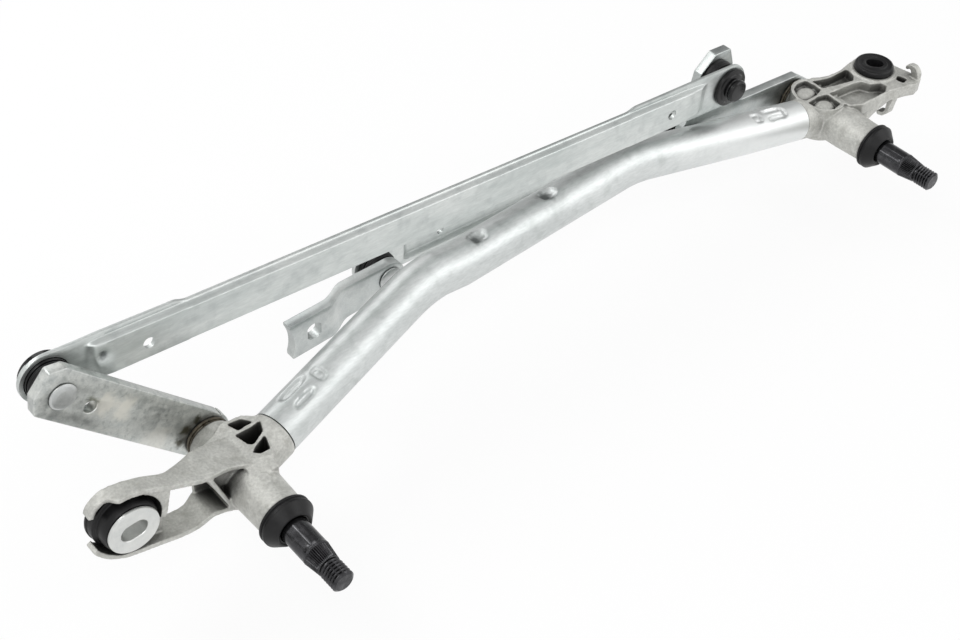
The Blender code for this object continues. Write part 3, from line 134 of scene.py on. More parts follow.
def finish_of(name, dark, pale, patch_mm, grain_mm, metallic, smooth, rough, bump_mm, stretch=(1.0, 1.0, 1.0),
              stain=None, stain_share=0.0, stains_and_painted_light=(), reflect=0.5, painted_shade=None, painted_shade_mm=3.0,
              painted_shade_share=0.6, speckled=0.06):
    """A surface with cloudy patches, a fine grain and a roughness that follows them.

    A local patch is a real stain, painted light or painted shade: (place in millimetres, inner and outer
    radius, colour, share). The painted shade colour darkens corners, pockets and grooves, where shade falls."""
    made, tree = blank(name)
    place = add(tree, "TexCoord").outputs["Object"]
    drawn = add(tree, "Mapping", {"Vector": place, "Scale": stretch})
    patches = add(tree, "TexNoise", {"Vector": drawn, "Scale": 1000.0 / patch_mm, "Detail": 5.0,
                                     "Roughness": 0.6})
    grain = add(tree, "TexNoise", {"Vector": drawn, "Scale": 1000.0 / grain_mm, "Detail": 2.0,
                                   "Roughness": 0.6})
    ramp = add(tree, "ValToRGB", {"Fac": patches})
    ramp.color_ramp.elements[0].position = NOISE_LOW
    ramp.color_ramp.elements[0].color = linear(dark)
    ramp.color_ramp.elements[1].position = NOISE_HIGH
    ramp.color_ramp.elements[1].color = linear(pale)
    speckle = add(tree, "MapRange", {"Value": grain, "From Min": NOISE_LOW, "From Max": NOISE_HIGH,
                                     "To Min": 1.0 - speckled, "To Max": 1.0 + speckled})
    colour = add(tree, "VectorMath", {0: ramp, "Scale": speckle}, operation="SCALE")
    layers = []
    if stain:
        spots = add(tree, "TexNoise", {"Vector": place, "Scale": 1000.0 / (0.6 * patch_mm), "Detail": 5.0})
        share = add(tree, "MapRange", {"Value": spots, "From Min": 0.52, "From Max": NOISE_HIGH,
                                       "To Min": 0.0, "To Max": stain_share})
        layers.append((share, stain))
    # Local patches: real stains, painted pools of light and painted shade
    for spot, inner, outer, tint, strength in stains_and_painted_light:
        ragged = add(tree, "TexNoise", {"Vector": place, "Scale": 1000.0 / (0.7 * outer), "Detail": 4.0})
        apart = add(tree, "VectorMath", {0: place, 1: [MM * value for value in spot]}, operation="DISTANCE")
        uneven = add(tree, "Math", {0: ragged, 1: MM * 1.4 * outer, 2: apart.outputs["Value"]},
                     operation="MULTIPLY_ADD")
        share = add(tree, "MapRange", {"Value": uneven, "From Min": MM * (inner + 0.7 * outer),
                                       "From Max": MM * 1.7 * outer, "To Min": strength, "To Max": 0.0},
                    interpolation_type="SMOOTHSTEP")
        layers.append((share, tint))
    # Painted shade: ambient occlusion darkens corners, pockets and grooves with the painted shade colour
    if painted_shade:
        open_sky = add(tree, "AmbientOcclusion", {"Distance": MM * painted_shade_mm}, samples=6)
        share = add(tree, "MapRange", {"Value": open_sky.outputs["AO"], "From Min": 0.28, "From Max": 0.85,
                                       "To Min": painted_shade_share, "To Max": 0.0})
        layers.append((share, painted_shade))
    for share, tint in layers:
        colour = add(tree, "MixRGB", {"Fac": share, "Color1": colour, "Color2": linear(tint)})
    gloss = add(tree, "MapRange", {"Value": patches, "From Min": NOISE_LOW, "From Max": NOISE_HIGH,
                                   "To Min": smooth, "To Max": rough})
    relief = add(tree, "Bump", {"Height": grain, "Strength": 0.6, "Distance": MM * bump_mm})
    shader = add(tree, "BsdfPrincipled", {"Base Color": colour, "Metallic": metallic,
                                          "Roughness": gloss, "Normal": relief,
                                          "Specular IOR Level": reflect})
    add(tree, "OutputMaterial", {"Surface": shader})
    return made


# Zinc coating over drawn tube: broad clouds along the tube, satin, a faint grain, a painted pale glow of
# light over its far run, painted shade in its two dents and in its crimps
ZINC_TUBE = finish_of("zinc_coated_tube", "#C6CAC9", "#DEE1E0", 12.0, 0.9, 0.92, 0.36, 0.5, 0.05,
                      (0.25, 1.0, 1.0),
                      "#A8AEAB", 0.35, [((SPINDLE_SPACING - 45.0, 98.0, 8.0), 20.0, 75.0, "#EEF0EF", 0.7),
                                       ((146.5, 101.0, 27.0), 0.8, 5.5, "#5C6160", 0.85),
                                       ((191.5, 104.5, 27.0), 0.8, 5.5, "#5C6160", 0.85)],
                      painted_shade="#4A4F4E", speckled=0.07)
# Zinc coating over the pressed links: pale, with faint drawing marks along them, painted shade in the long
# link's dimple and painted shade in their corners
ZINC_LINK = finish_of("zinc_coated_strip", "#BFC5C3", "#DFE2E0", 12.0, 0.8, 0.92, 0.36, 0.48, 0.04,
                      (0.2, 1.0, 1.0),
                      "#A3A9A9", 0.35, [((NEAR_BALL[0] + 22.5, link_back - 3.5, NEAR_BALL[2] + 0.4), 0.3, 3.4,
                                         "#4E5354", 0.85)], painted_shade="#454A4A")
# Zinc coating over the near lever: mottled, a pale bloom by its small hole and old grease round the hub, with
# painted shade in its corners
ZINC_LEVER = finish_of("zinc_coated_lever", "#B9BDBB", "#DADCD8", 3.4, 0.6, 0.92, 0.3, 0.48, 0.04,
                       (1.0, 1.0, 1.0),
                       "#8B918F", 0.42, [((-41.0, LEVER_FRONT, 44.0), 2.0, 7.5, "#EFEDE4", 0.8),
                                         ((-34.0, LEVER_FRONT, 37.5), 2.0, 7.5, "#EFEDE4", 0.8),
                                         ((-22.0, LEVER_FRONT, 12.0), 3.0, 9.0, "#E6E5DE", 0.6),
                                         ((-3.5, LEVER_FRONT, 11.5), 0.6, 3.6, "#4A472E", 0.85),
                                         ((-9.0, LEVER_FRONT, 9.0), 0.6, 4.0, "#57502F", 0.85),
                                         ((-12.5, LEVER_FRONT, 4.0), 0.6, 3.4, "#3E3B28", 0.85),
                                         ((-45.8, LEVER_FRONT, 47.9), 1.0, 3.6, "#5A5B3C", 0.7)],
                                         painted_shade="#3B3C36")
# Zinc coating over thick plate, of the far lever and the crank, with painted shade in its corners and round
# the parts beside it
ZINC_PLATE = finish_of("zinc_coated_plate", "#B0B6B5", "#D6D9D7", 15.0, 0.8, 0.95, 0.3, 0.48, 0.03,
                       (1.0, 1.0, 1.0), "#989E9E", 0.4, painted_shade="#454A4A")
# Bare turned steel of the ball studs, brighter and smoother
TURNED_STEEL = finish_of("turned_steel", "#B2B5B4", "#CFD1D0", 6.0, 0.7, 0.95, 0.34, 0.44, 0.004,
                         speckled=0.03)
# Zinc over the turned sleeve of the near grommet, with strong painted shade in its recesses
BRIGHT_SLEEVE = finish_of("zinc_coated_sleeve", "#CFD1CF", "#E0E1DE", 5.0, 0.6, 0.85, 0.34, 0.44, 0.006,
                          painted_shade="#3C403F", painted_shade_mm=7.0, painted_shade_share=0.8, speckled=0.03)
# Die-cast aluminium as it leaves the mould and the shot blast: pale grey, matt, sandy, with deep painted
# shade in its pockets and corners
CAST = finish_of("die_cast_aluminium", "#B9B9B4", "#D0D0CB", 6.0, 1.1, 0.5, 0.46, 0.6, 0.22, (1.0, 1.0, 1.0),
                 "#9C9B94", 0.4, painted_shade="#1B1A17", painted_shade_mm=14.0, painted_shade_share=0.97, speckled=0.13)
# Moulded rubber with a dull bloom
RUBBER = finish_of("moulded_rubber", "#0D0D0E", "#1A1A1B", 5.0, 0.45, 0.0, 0.32, 0.5, 0.05, reflect=0.28)
# Injection-moulded nylon of the sockets
NYLON = finish_of("moulded_nylon", "#0C0C0D", "#171718", 6.0, 0.5, 0.0, 0.12, 0.22, 0.02, reflect=0.32)
# Phosphated and oiled steel of the spindles, with painted shade in the thread grooves
PHOSPHATED = finish_of("phosphated_steel", "#2E2E30", "#525254", 4.0, 0.5, 0.88, 0.15, 0.25, 0.01,
                       (1.0, 0.5, 1.0), "#747476", 0.3, painted_shade="#060606", painted_shade_mm=1.3, painted_shade_share=0.95,
                       speckled=0.04)
# Sintered bronze of the bushes
BRONZE = finish_of("sintered_bronze", "#7A5A34", "#9C7748", 3.0, 0.3, 0.9, 0.4, 0.6, 0.03)
# Spring steel of the washers and rings, with grease that has gone brown
GREASED = finish_of("greased_spring_steel", "#2E2A22", "#6D675A", 3.0, 0.5, 0.5, 0.2, 0.5, 0.03,
                    (1.0, 1.0, 1.0), "#3D3018", 0.8)


# Meshes


def keep_sharp(mesh, degrees):
    """Shades a mesh smooth except across its sharp edges."""
    shape = bmesh.new()
    shape.from_mesh(mesh)
    bmesh.ops.recalc_face_normals(shape, faces=shape.faces[:])
    for face in shape.faces:
        face.smooth = True
    for edge in shape.edges:
        edge.smooth = len(edge.link_faces) == 2 and edge.calc_face_angle(0.0) < radians(degrees)
    shape.to_mesh(mesh)
    shape.free()


def in_scene(name, data):
    made = bpy.data.objects.new(name, data)
    bpy.context.scene.collection.objects.link(made)
    return made


def show(name, mesh, finish, body, node, degrees=32.0):
    """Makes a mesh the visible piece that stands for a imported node."""
    keep_sharp(mesh, degrees)
    mesh.materials.clear()
    mesh.materials.append(finish)
    made = in_scene(name, mesh)
    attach(made, body)
    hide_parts(node)


def mesh_of(name, corners, faces):
    """A closed mesh from corners in millimetres, its faces turned outwards."""
    mesh = bpy.data.meshes.new(name)
    mesh.from_pydata([tuple(MM * Vector(corner)) for corner in corners], [], faces)
    shape = bmesh.new()
    shape.from_mesh(mesh)
    bmesh.ops.recalc_face_normals(shape, faces=shape.faces[:])
    shape.to_mesh(mesh)
    shape.free()
    return mesh


def strip(name, rings, loop=False):
    """A mesh through rings of as many corners each, closed at its ends or back on itself."""
    count = len(rings[0])
    corners = [corner for ring in rings for corner in ring]
    faces = []
    for row in range(len(rings) if loop else len(rings) - 1):
        one = row * count
        two = (row + 1) % len(rings) * count
        for step in range(count):
            following = (step + 1) % count
            faces.append([one + step, one + following, two + following, two + step])
    if not loop:
        faces.append(list(range(count)))
        faces.append(list(range(len(corners) - count, len(corners))))
    return mesh_of(name, corners, faces)


def softened(profile, amount, loop):
    """A turned profile with its corners rounded off by about the given amount."""
    made = []
    count = len(profile)
    for index, point in enumerate(profile):
        if not loop and index in (0, count - 1):
            made.append(point)
            continue
        before = profile[index - 1]
        after = profile[(index + 1) % count]
        first = hypot(before[0] - point[0], before[1] - point[1])
        second = hypot(after[0] - point[0], after[1] - point[1])
        take_1 = min(amount, 0.4 * first) / max(first, 1e-6)
        take_2 = min(amount, 0.4 * second) / max(second, 1e-6)
        start = [p + take_1 * (b - p) for p, b in zip(point, before)]
        end = [p + take_2 * (a - p) for p, a in zip(point, after)]
        for share in (0.0, 0.33, 0.67, 1.0):
            made.append(tuple((1 - share) ** 2 * s + 2 * share * (1 - share) * p + share ** 2 * e
                              for s, p, e in zip(start, point, end)))
    return made


def turned(name, profile, start, way=Y, sides=96, soft=0.25, shape=None):
    """A turned mesh. The profile is (along, radius), a loop unless both ends meet the axis."""
    loop = profile[0][1] > 1e-6 or profile[-1][1] > 1e-6
    if soft:
        profile = softened(profile, soft, loop)
    start = Vector(start)
    side = Z.cross(way) if abs(way.z) < 0.9 else X.cross(way)
    side.normalize()
    up = way.cross(side)
    rings = []
    for along, radius in profile:
        ring = []
        for step in range(sides):
            angle = 2.0 * pi * step / sides
            size = max(radius, 0.02)
            if shape:
                size += shape(along, radius, angle)
            ring.append(start + along * way + size * (cos(angle) * side + sin(angle) * up))
        rings.append(ring)
    return strip(name, rings, loop)


def show_turned(node, made_by, profile, place, finish, body, sides=96, soft=0.3, shape=None, degrees=32.0,
                way=Y):
    """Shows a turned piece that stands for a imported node."""
    name = node + "_" + made_by
    show(name, turned(name, profile, place, way, sides, soft, shape), finish, body, node, degrees)


def from_base(base, points):
    """Points whose first number is measured from a base."""
    return [(base + along, *others) for along, *others in points]


def slotted(name, profile, start, way, length, width, turn=0.0, sides=96):
    """A turned mesh with an obround hole through it. The profile is (along, radius, share of the slot)."""
    shift = 0.5 * (length - width)
    along_slot = cos(radians(turn)) * X + sin(radians(turn)) * (Z if abs(way.y) > 0.5 else Y)
    across_slot = -sin(radians(turn)) * X + cos(radians(turn)) * (Z if abs(way.y) > 0.5 else Y)
    rings = []
    for along, radius, share in profile:
        ring = []
        for step in range(sides):
            angle = 2.0 * pi * (step + 0.5) / sides
            push = shift * share * (1.0 if cos(angle) > 0.0 else -1.0)
            ring.append(start + along * way + (radius * cos(angle) + push) * along_slot
                        + radius * sin(angle) * across_slot)
        rings.append(ring)
    return strip(name, rings, True)


def rounded(outline, radius):
    """An outline with each corner rounded. A corner may carry its own radius as a third number."""
    made = []
    count = len(outline)
    for index, corner in enumerate(outline):
        point = Vector(corner[:2])
        own = corner[2] if len(corner) > 2 else radius
        before = Vector(outline[index - 1][:2]) - point
        after = Vector(outline[(index + 1) % count][:2]) - point
        angle = before.angle(after)
        reach = own / max(abs(sin(0.5 * angle) / cos(0.5 * angle)), 1e-3) if angle < pi - 0.02 else 0.0
        reach = min(reach, 0.48 * before.length, 0.48 * after.length)
        if reach < 0.02:
            made.append(tuple(point))
            continue
        start = point + reach * before.normalized()
        end = point + reach * after.normalized()
        for step in range(6):
            share = step / 5.0
            made.append(tuple((1 - share) ** 2 * start + 2 * share * (1 - share) * point + share ** 2 * end))
    return made


def circle(x, z, radius, count=40):
    return [(x + radius * cos(2 * pi * step / count),
             z + radius * sin(2 * pi * step / count)) for step in range(count)]


def evaluated(made):
    """The mesh of an object after its modifiers, and the object is gone."""
    graph = bpy.context.evaluated_depsgraph_get()
    mesh = bpy.data.meshes.new_from_object(made.evaluated_get(graph))
    bpy.data.objects.remove(made)
    return mesh


def plate(name, outline, holes, front, back, edge=0.4):
    """A flat plate in X and Z with rounded edges, also round its holes."""
    curve = bpy.data.curves.new(name, "CURVE")
    curve.dimensions = "2D"
    curve.fill_mode = "BOTH"
    curve.extrude = MM * (0.5 * (back - front) - edge)
    curve.bevel_depth = MM * edge
    curve.bevel_resolution = 2
    curve.offset = -MM * edge
    for loop in [outline] + holes:
        line = curve.splines.new("POLY")
        line.points.add(len(loop) - 1)
        line.use_cyclic_u = True
        for point, (x, z) in zip(line.points, loop):
            point.co = (MM * x, MM * z, 0.0, 1.0)
    mesh = evaluated(in_scene(name, curve))
    mesh.transform(Matrix(((1, 0, 0, 0), (0, 0, 1, MM * 0.5 * (front + back)), (0, 1, 0, 0), (0, 0, 0, 1))))
    shape = bmesh.new()
    shape.from_mesh(mesh)
    bmesh.ops.remove_doubles(shape, verts=shape.verts[:], dist=1e-6)
    shape.to_mesh(mesh)
    shape.free()
    return mesh


def ease(value):
    """A smooth step from 0 to 1."""
    value = min(max(value, 0.0), 1.0)
    return value * value * (3.0 - 2.0 * value)


def between(stations, along):
    """The values of the stations at a place between them, eased from one to the next."""
    if along <= stations[0][0]:
        return stations[0][1:]
    for first, second in zip(stations, stations[1:]):
        if along <= second[0]:
            share = ease((along - first[0]) / (second[0] - first[0]))
            return [a + share * (b - a) for a, b in zip(first[1:], second[1:])]
    return stations[-1][1:]


# Turned pieces of both spindles, measured from the threaded end
THREAD_SPAN = (0.9, 8.7)
THREAD_RADIUS = 5.0
THREAD_PITCH = 1.5
THREAD_DEPTH = 0.82
KNURL_SPAN = (9.9, 17.8)
KNURL_FADE = 0.8
KNURL_TEETH = 40
KNURL_DEPTH = 0.42
SHAFT_RADIUS = 6.0
FLAT_SPAN = (19.6, 36.0)
FLAT_ANGLE = radians(54.0)
FLAT_REACH = 0.6
FLAT_DEPTH = 5.76


def spindle_surface(along, radius, angle):
    """Thread crests on the thread, teeth on the cone, and the flat that runs from the cap to the cone."""
    if THREAD_SPAN[0] < along < THREAD_SPAN[1]:
        turn = (along / THREAD_PITCH - angle / (2 * pi)) % 1.0
        return -THREAD_DEPTH * abs(2.0 * turn - 1.0) ** 1.2
    if KNURL_SPAN[0] < along < KNURL_SPAN[1]:
        fade = min(1.0, (along - KNURL_SPAN[0]) / KNURL_FADE, (KNURL_SPAN[1] - along) / KNURL_FADE)
        return -KNURL_DEPTH * fade * (0.5 + 0.5 * cos(KNURL_TEETH * angle))
    if FLAT_SPAN[0] < along < FLAT_SPAN[1]:
        turn = abs((angle - FLAT_ANGLE + pi) % (2 * pi) - pi)
        if turn < FLAT_REACH:
            return min(0.0, FLAT_DEPTH / cos(turn) - radius)
    return 0.0


ring_front = span("near_retaining_ring", 1)[0]
spindle_profile = [(0.0, 0.0), (0.0, 3.9), (0.3, 4.25)]
spindle_profile += [(0.5 + 0.125 * step, THREAD_RADIUS - max(0.0, THREAD_SPAN[0] - 0.5 - 0.125 * step))
                    for step in range(66)]
spindle_profile += [(8.9, 4.35), (9.5, 4.3), (9.7, 4.9)]
spindle_profile += [(9.8 + 0.4 * step, 4.98 + 1.11 * step / 20.0) for step in range(21)]
spindle_profile += [(18.1, 6.05), (18.25, SHAFT_RADIUS), (19.55, SHAFT_RADIUS), (19.65, SHAFT_RADIUS),
                    (30.0, SHAFT_RADIUS)]
spindle_profile += from_base(ring_front, [(-0.3, SHAFT_RADIUS), (-0.25, 5.3), (1.5, 5.3),
                                          (1.55, SHAFT_RADIUS)])
spindle_profile += [(60.0, SHAFT_RADIUS), (LEVER_FRONT - 0.35, SHAFT_RADIUS), (LEVER_FRONT - 0.3, 5.0)]
spindle_profile += from_base(LEVER_BACK, [(0.3, 5.0), (0.32, 5.7), (0.6, 5.9), (1.3, 5.85), (1.9, 5.0),
                                          (2.3, 3.4), (2.1, 2.6), (1.6, 0.9), (1.6, 0.0)])
cap_profile = [(31.8, 7.4), (31.8, 7.95), (32.2, 8.35), (35.6, 11.25), (36.0, 11.5), (36.15, 11.75),
               (37.3, 11.78),
               (37.6, 11.0), (38.2, 11.0), (38.5, 11.78), (39.3, 11.78), (39.75, 11.3), (39.75, 9.2),
               (34.4, 9.2), (34.4, 6.35), (32.5, 6.3), (32.45, 6.9)]
SPINDLES = (("near", 0.0, 0.0), ("far", SPINDLE_SPACING, FAR_SETBACK))
for side, x, setback in SPINDLES:
    place = (x, setback, 0.0)
    show_turned(side + "_spindle", "turned", spindle_profile, place, PHOSPHATED, side + "_shaft", 200, 0.0,
                spindle_surface, 40.0)
    show_turned(side + "_seal_cap", "moulded", cap_profile, place, RUBBER, "frame")


# Ball studs
PLATE_THICKNESS = 5.0
BALL_RADIUS = 4.0
NECK_RADIUS = 2.6
STUD_HOLE = 3.9
SPINDLE_HOLE = 5.3


def stud_profile(reach):
    """A stud whose riveted head stands in front of its plate, with a collar, a neck and a ball of 8 mm."""
    profile = from_base(-PLATE_THICKNESS, [(-1.5, 0.0), (-1.45, 3.2), (-1.2, 4.9), (-0.8, 5.7), (-0.3, 5.78),
                                           (-0.3, 3.6)])
    profile += [(0.3, 3.6), (0.3, 4.4), (1.5, 4.4), (1.7, NECK_RADIUS), (reach - 3.1, NECK_RADIUS)]
    for step in range(1, 25):
        angle = (pi - asin(NECK_RADIUS / BALL_RADIUS)) * (1.0 - step / 24.0)
        profile.append((reach + BALL_RADIUS * cos(angle), BALL_RADIUS * sin(angle)))
    return profile


for name, ball, face, way, level, body in (
        ("near_ball_stud", NEAR_BALL, LEVER_BACK, 1.0, ball_level, "near_shaft"),
        ("far_long_link_stud", FAR_BALL, FAR_LEVER_FRONT, -1.0, ball_level, "far_shaft"),
        ("far_short_link_stud", SHORT_BALL, FAR_LEVER_BACK, 1.0, short_level, "far_shaft"),
        ("crank_ball_stud", CRANK_BALL, FAR_LEVER_BACK, 1.0, short_level, "crank")):
    show_turned(name, "turned", stud_profile(abs(level - face)), (ball[0], face, ball[2]), TURNED_STEEL,
                body, 64, 0.15, way=way * Y)

# Levers
ARM_ANGLE = radians(45.67)
NEAR_HUB = 11.0


def on_near_arm(along, up):
    return (-along * cos(ARM_ANGLE) + up * sin(ARM_ANGLE), along * sin(ARM_ANGLE) + up * cos(ARM_ANGLE))


def around(centre, points):
    """Outline points measured from a place. Each may carry the radius of its own corner."""
    return [(centre[0] + x, centre[2] + z, *radius) for x, z, *radius in points]


near_outline = [on_near_arm(-NEAR_HUB * cos(radians(a)), NEAR_HUB * sin(radians(a)))
                for a in range(-90, 91, 9)]
near_outline += rounded([on_near_arm(*corner) for corner in (
    (0.0, NEAR_HUB), (87.3, NEAR_HUB), (92.7, 6.8), (91.7, -4.9), (86.9, -NEAR_HUB), (0.0, -NEAR_HUB))],
    1.6)[1:-1]
near_holes = [circle(NEAR_BALL[0], NEAR_BALL[2], STUD_HOLE), circle(0.0, 0.0, SPINDLE_HOLE),
              circle(*on_near_arm(65.6, -1.3), 2.8)]
near_lever = plate("near_lever_pressed", near_outline, near_holes, LEVER_FRONT, LEVER_BACK)
show("near_lever_pressed", near_lever, ZINC_LEVER, "near_shaft", "near_lever")

far_hub = (SPINDLE_SPACING, 0.0, 0.0)
far_outline = around(far_hub, [(1.5, 12.2), (-42.7, 14.9, 3.0), (-48.5, 17.0, 4.0), (-51.8, 21.5, 4.0)])
far_outline += around(FAR_BALL, [(13.1, 3.6, 3.0), (9.7, 12.8), (-1.0, 13.3), (-10.0, 5.1),
                                 (-11.0, -0.3, 3.0)])
far_outline += around(SHORT_BALL, [(-8.5, 12.4, 3.0), (-11.2, 8.1), (-11.7, 2.0), (-10.4, -5.0, 3.0),
                                   (-6.0, -9.9, 3.0), (0.0, -11.6, 3.0)])
far_outline += around(far_hub, [(0.0, -11.5), (8.0, -10.5, 3.0), (14.0, -6.0, 3.0), (15.5, 2.5, 2.0)])
far_holes = [circle(FAR_BALL[0], FAR_BALL[2], STUD_HOLE), circle(SHORT_BALL[0], SHORT_BALL[2], STUD_HOLE),
             circle(SPINDLE_SPACING, 0.0, SPINDLE_HOLE)]
far_lever = plate("far_lever_pressed", rounded(far_outline, 1.6), far_holes, FAR_LEVER_FRONT, FAR_LEVER_BACK)
show("far_lever_pressed", far_lever, ZINC_PLATE, "far_shaft", "far_lever")

# Frame tube
TUBE_RADIUS = 10.5
TUBE_WALL = 1.5
TUBE_BEND_RADIUS = 90.0
TUBE_NEAR_END = Vector((0.0, 70.6, 0.0))
TUBE_BEND_1 = Vector((108.0, 98.5, 17.5))
TUBE_BEND_2 = Vector((SPINDLE_SPACING - 136.7, 108.2, 18.3))
TUBE_FAR_END = Vector((SPINDLE_SPACING, 95.1, 0.0))
NEAR_COLLAR_LENGTH = 22.0
FAR_COLLAR_LENGTH = 20.0
run_1 = (TUBE_BEND_1 - TUBE_NEAR_END).normalized()
run_2 = (TUBE_BEND_2 - TUBE_BEND_1).normalized()
run_3 = (TUBE_FAR_END - TUBE_BEND_2).normalized()
length_3 = (TUBE_FAR_END - TUBE_BEND_2).length
# Rings stand close together along the crimps and the dents
COLLAR_GAP = 0.3
CRIMP_STEP = 0.55
DENT_STEP = 1.2
BEND_STEPS = 16
NEAR_CRIMPS_END = 58.0
FAR_CRIMPS_REACH = 60.0
DENTS_START = 28.0
DENTS_END = 98.0

# Crimps are (along, degrees round the tube, half length, half width, depth, domed floor)
near_crimps = [(50.6, 83.0, 2.7, 3.7, 1.1, 0.55), (38.0, 66.0, 6.2, 1.8, 1.5, 0.0),
               (38.5, 108.0, 8.0, 2.4, 1.3, 0.3), (44.0, 250.0, 6.0, 3.6, 1.4, 0.0)]
middle_crimps = [(40.0, 88.0, 4.4, 3.6, 1.4, 0.0), (85.0, 94.0, 4.8, 3.6, 1.4, 0.0)]
far_crimps = from_base(length_3, [(-52.8, 80.0, 3.1, 3.6, 1.3, 0.6), (-40.2, 65.0, 6.6, 1.7, 1.5, 0.0),
                                  (-40.2, 96.0, 6.6, 1.7, 1.5, 0.0), (-34.2, 81.0, 1.6, 3.6, 1.3, 0.0),
                                  (-46.0, 250.0, 6.0, 3.6, 1.4, 0.0)])


def pressed_in(along, bearing, crimps):
    """How deep the crimps press the tube in: a steep wall, a soft lip and a floor that may be domed."""
    deepest = 0.0
    for centre, angle, half_length, half_width, depth, dome in crimps:
        turn = radians((bearing - angle + 180.0) % 360.0 - 180.0) * TUBE_RADIUS
        reach = (abs((along - centre) / half_length) ** 3 + abs(turn / half_width) ** 3) ** (1.0 / 3.0)
        if reach < 2.4:
            wall = depth * (1.0 - ease((reach - 0.62) / 0.5)) - dome * max(0.0, 1.0 - (reach / 0.7) ** 2)
            lip = 0.22 * depth * max(0.0, 1.0 - reach / 2.4)
            deepest = max(deepest, wall + lip)
    return deepest


def tube_stations():
    """Places along the tube, close together where it is crimped: (place, direction, along, crimps)."""
    stations = []
    along = NEAR_COLLAR_LENGTH + COLLAR_GAP
    while along < NEAR_CRIMPS_END:
        stations.append((TUBE_NEAR_END + along * run_1, run_1, along, near_crimps))
        along += CRIMP_STEP
    for corner, first, second in ((TUBE_BEND_1, run_1, run_2), (TUBE_BEND_2, run_2, run_3)):
        turn = first.angle(second)
        reach = TUBE_BEND_RADIUS * (1.0 - cos(0.5 * turn)) / sin(0.5 * turn)
        inward = (second - first.dot(second) * first).normalized()
        for step in range(BEND_STEPS + 1):
            angle = turn * step / BEND_STEPS
            arm = sin(angle) * first + (1.0 - cos(angle)) * inward
            stations.append((corner - reach * first + TUBE_BEND_RADIUS * arm,
                             cos(angle) * first + sin(angle) * inward, 0.0, []))
        if corner is TUBE_BEND_1:
            along = DENTS_START
            while along < DENTS_END:
                stations.append((TUBE_BEND_1 + along * run_2, run_2, along, middle_crimps))
                along += DENT_STEP
    back = FAR_CRIMPS_REACH
    while back > FAR_COLLAR_LENGTH + COLLAR_GAP:
        stations.append((TUBE_FAR_END - back * run_3, run_3, length_3 - back, far_crimps))
        back -= CRIMP_STEP
    back = FAR_COLLAR_LENGTH + COLLAR_GAP
    stations.append((TUBE_FAR_END - back * run_3, run_3, length_3 - back, far_crimps))
    return stations


def tube_ring(station, radius, sides):
    place, way, along, crimps = station
    sideways = way.cross(Z).normalized()
    up = sideways.cross(way)
    ring = []
    for step in range(sides):
        bearing = 360.0 * step / sides
        size = radius - pressed_in(along, bearing, crimps)
        ring.append(place + size * (cos(radians(bearing)) * sideways + sin(radians(bearing)) * up))
    return ring


stations = tube_stations()
outside = [tube_ring(station, TUBE_RADIUS - 0.02, 112) for station in stations]
rim_back = [tube_ring(station, TUBE_RADIUS - TUBE_WALL, 112) for station in stations[::-4] + [stations[0]]]
show("frame_tube_drawn", strip("frame_tube_drawn", outside + rim_back, True), ZINC_TUBE, "frame",
     "frame_tube", 60.0)


# Links pressed from sheet, with a shoulder beside their crown or groove
SHOULDER = 1.3


def half_section(crown, foot, level, rise):
    """Corners from the middle of a strip across its crown and down to the foot of its shoulder."""
    points = [(crown * step / 7.0, level - rise) for step in range(8)]
    for step in range(1, 9):
        share = step / 8.0
        points.append((crown + (foot - crown) * share, level - rise * (1.0 - ease(share))))
    return points


def pressed_link(name, start, end, front, length_steps, shape, dents=()):
    """A pressed strip. The shape gives its half width, its crown's half width and its rise along it."""
    start = Vector((start[0], start[2]))
    end = Vector((end[0], end[2]))
    along_way = (end - start).normalized()
    up_way = Vector((-along_way.y, along_way.x))
    rings = []
    for along in length_steps:
        edge, crown, rise = shape(along)
        crown = min(crown, 0.86 * edge - 0.3)
        foot = min(crown + SHOULDER, edge - 0.25)
        soft = min(0.45, 0.4 * edge)
        half_front = half_section(crown, foot, 0.0, rise)
        half_front += [(max(foot, edge - soft), 0.0), (edge - 0.3 * soft, 0.3 * soft), (edge, soft)]
        lift = 0.55 if rise > 0.0 else -0.3
        inner_crown = max(crown - lift, 0.2)
        inner_foot = max(foot - lift, inner_crown + 0.1)
        half_back = half_section(inner_crown, inner_foot, LINK_SHEET, rise)
        half_back += [(max(inner_foot, edge - soft), LINK_SHEET), (edge, LINK_SHEET - soft)]
        half_back = [(min(up, edge), y) for up, y in half_back]
        ring = half_front + half_back[::-1]
        ring += [(-up, y) for up, y in half_back[1:]] + [(-up, y) for up, y in half_front[:0:-1]]
        placed = []
        for up, y in ring:
            for place, across, reach, depth in dents:
                distance = hypot(along - place, up - across) / reach
                y += depth * exp(-distance * distance)
            point = start + along * along_way + up * up_way
            placed.append((point.x, front + y, point.y))
        rings.append(placed)
    return strip(name, rings)


def spaced(parts):
    """Places from (first, last, step) parts, each once."""
    places = []
    for first, last, step in parts:
        count = max(1, round((last - first) / step))
        places += [first + (last - first) * index / count for index in range(count)]
    return places + [parts[-1][1]]


JOIN = "UNION"
CUT = "DIFFERENCE"
CAST_VOXEL = 0.4
FILLET_ROUNDS = 5
KEPT_SHARE = 0.4


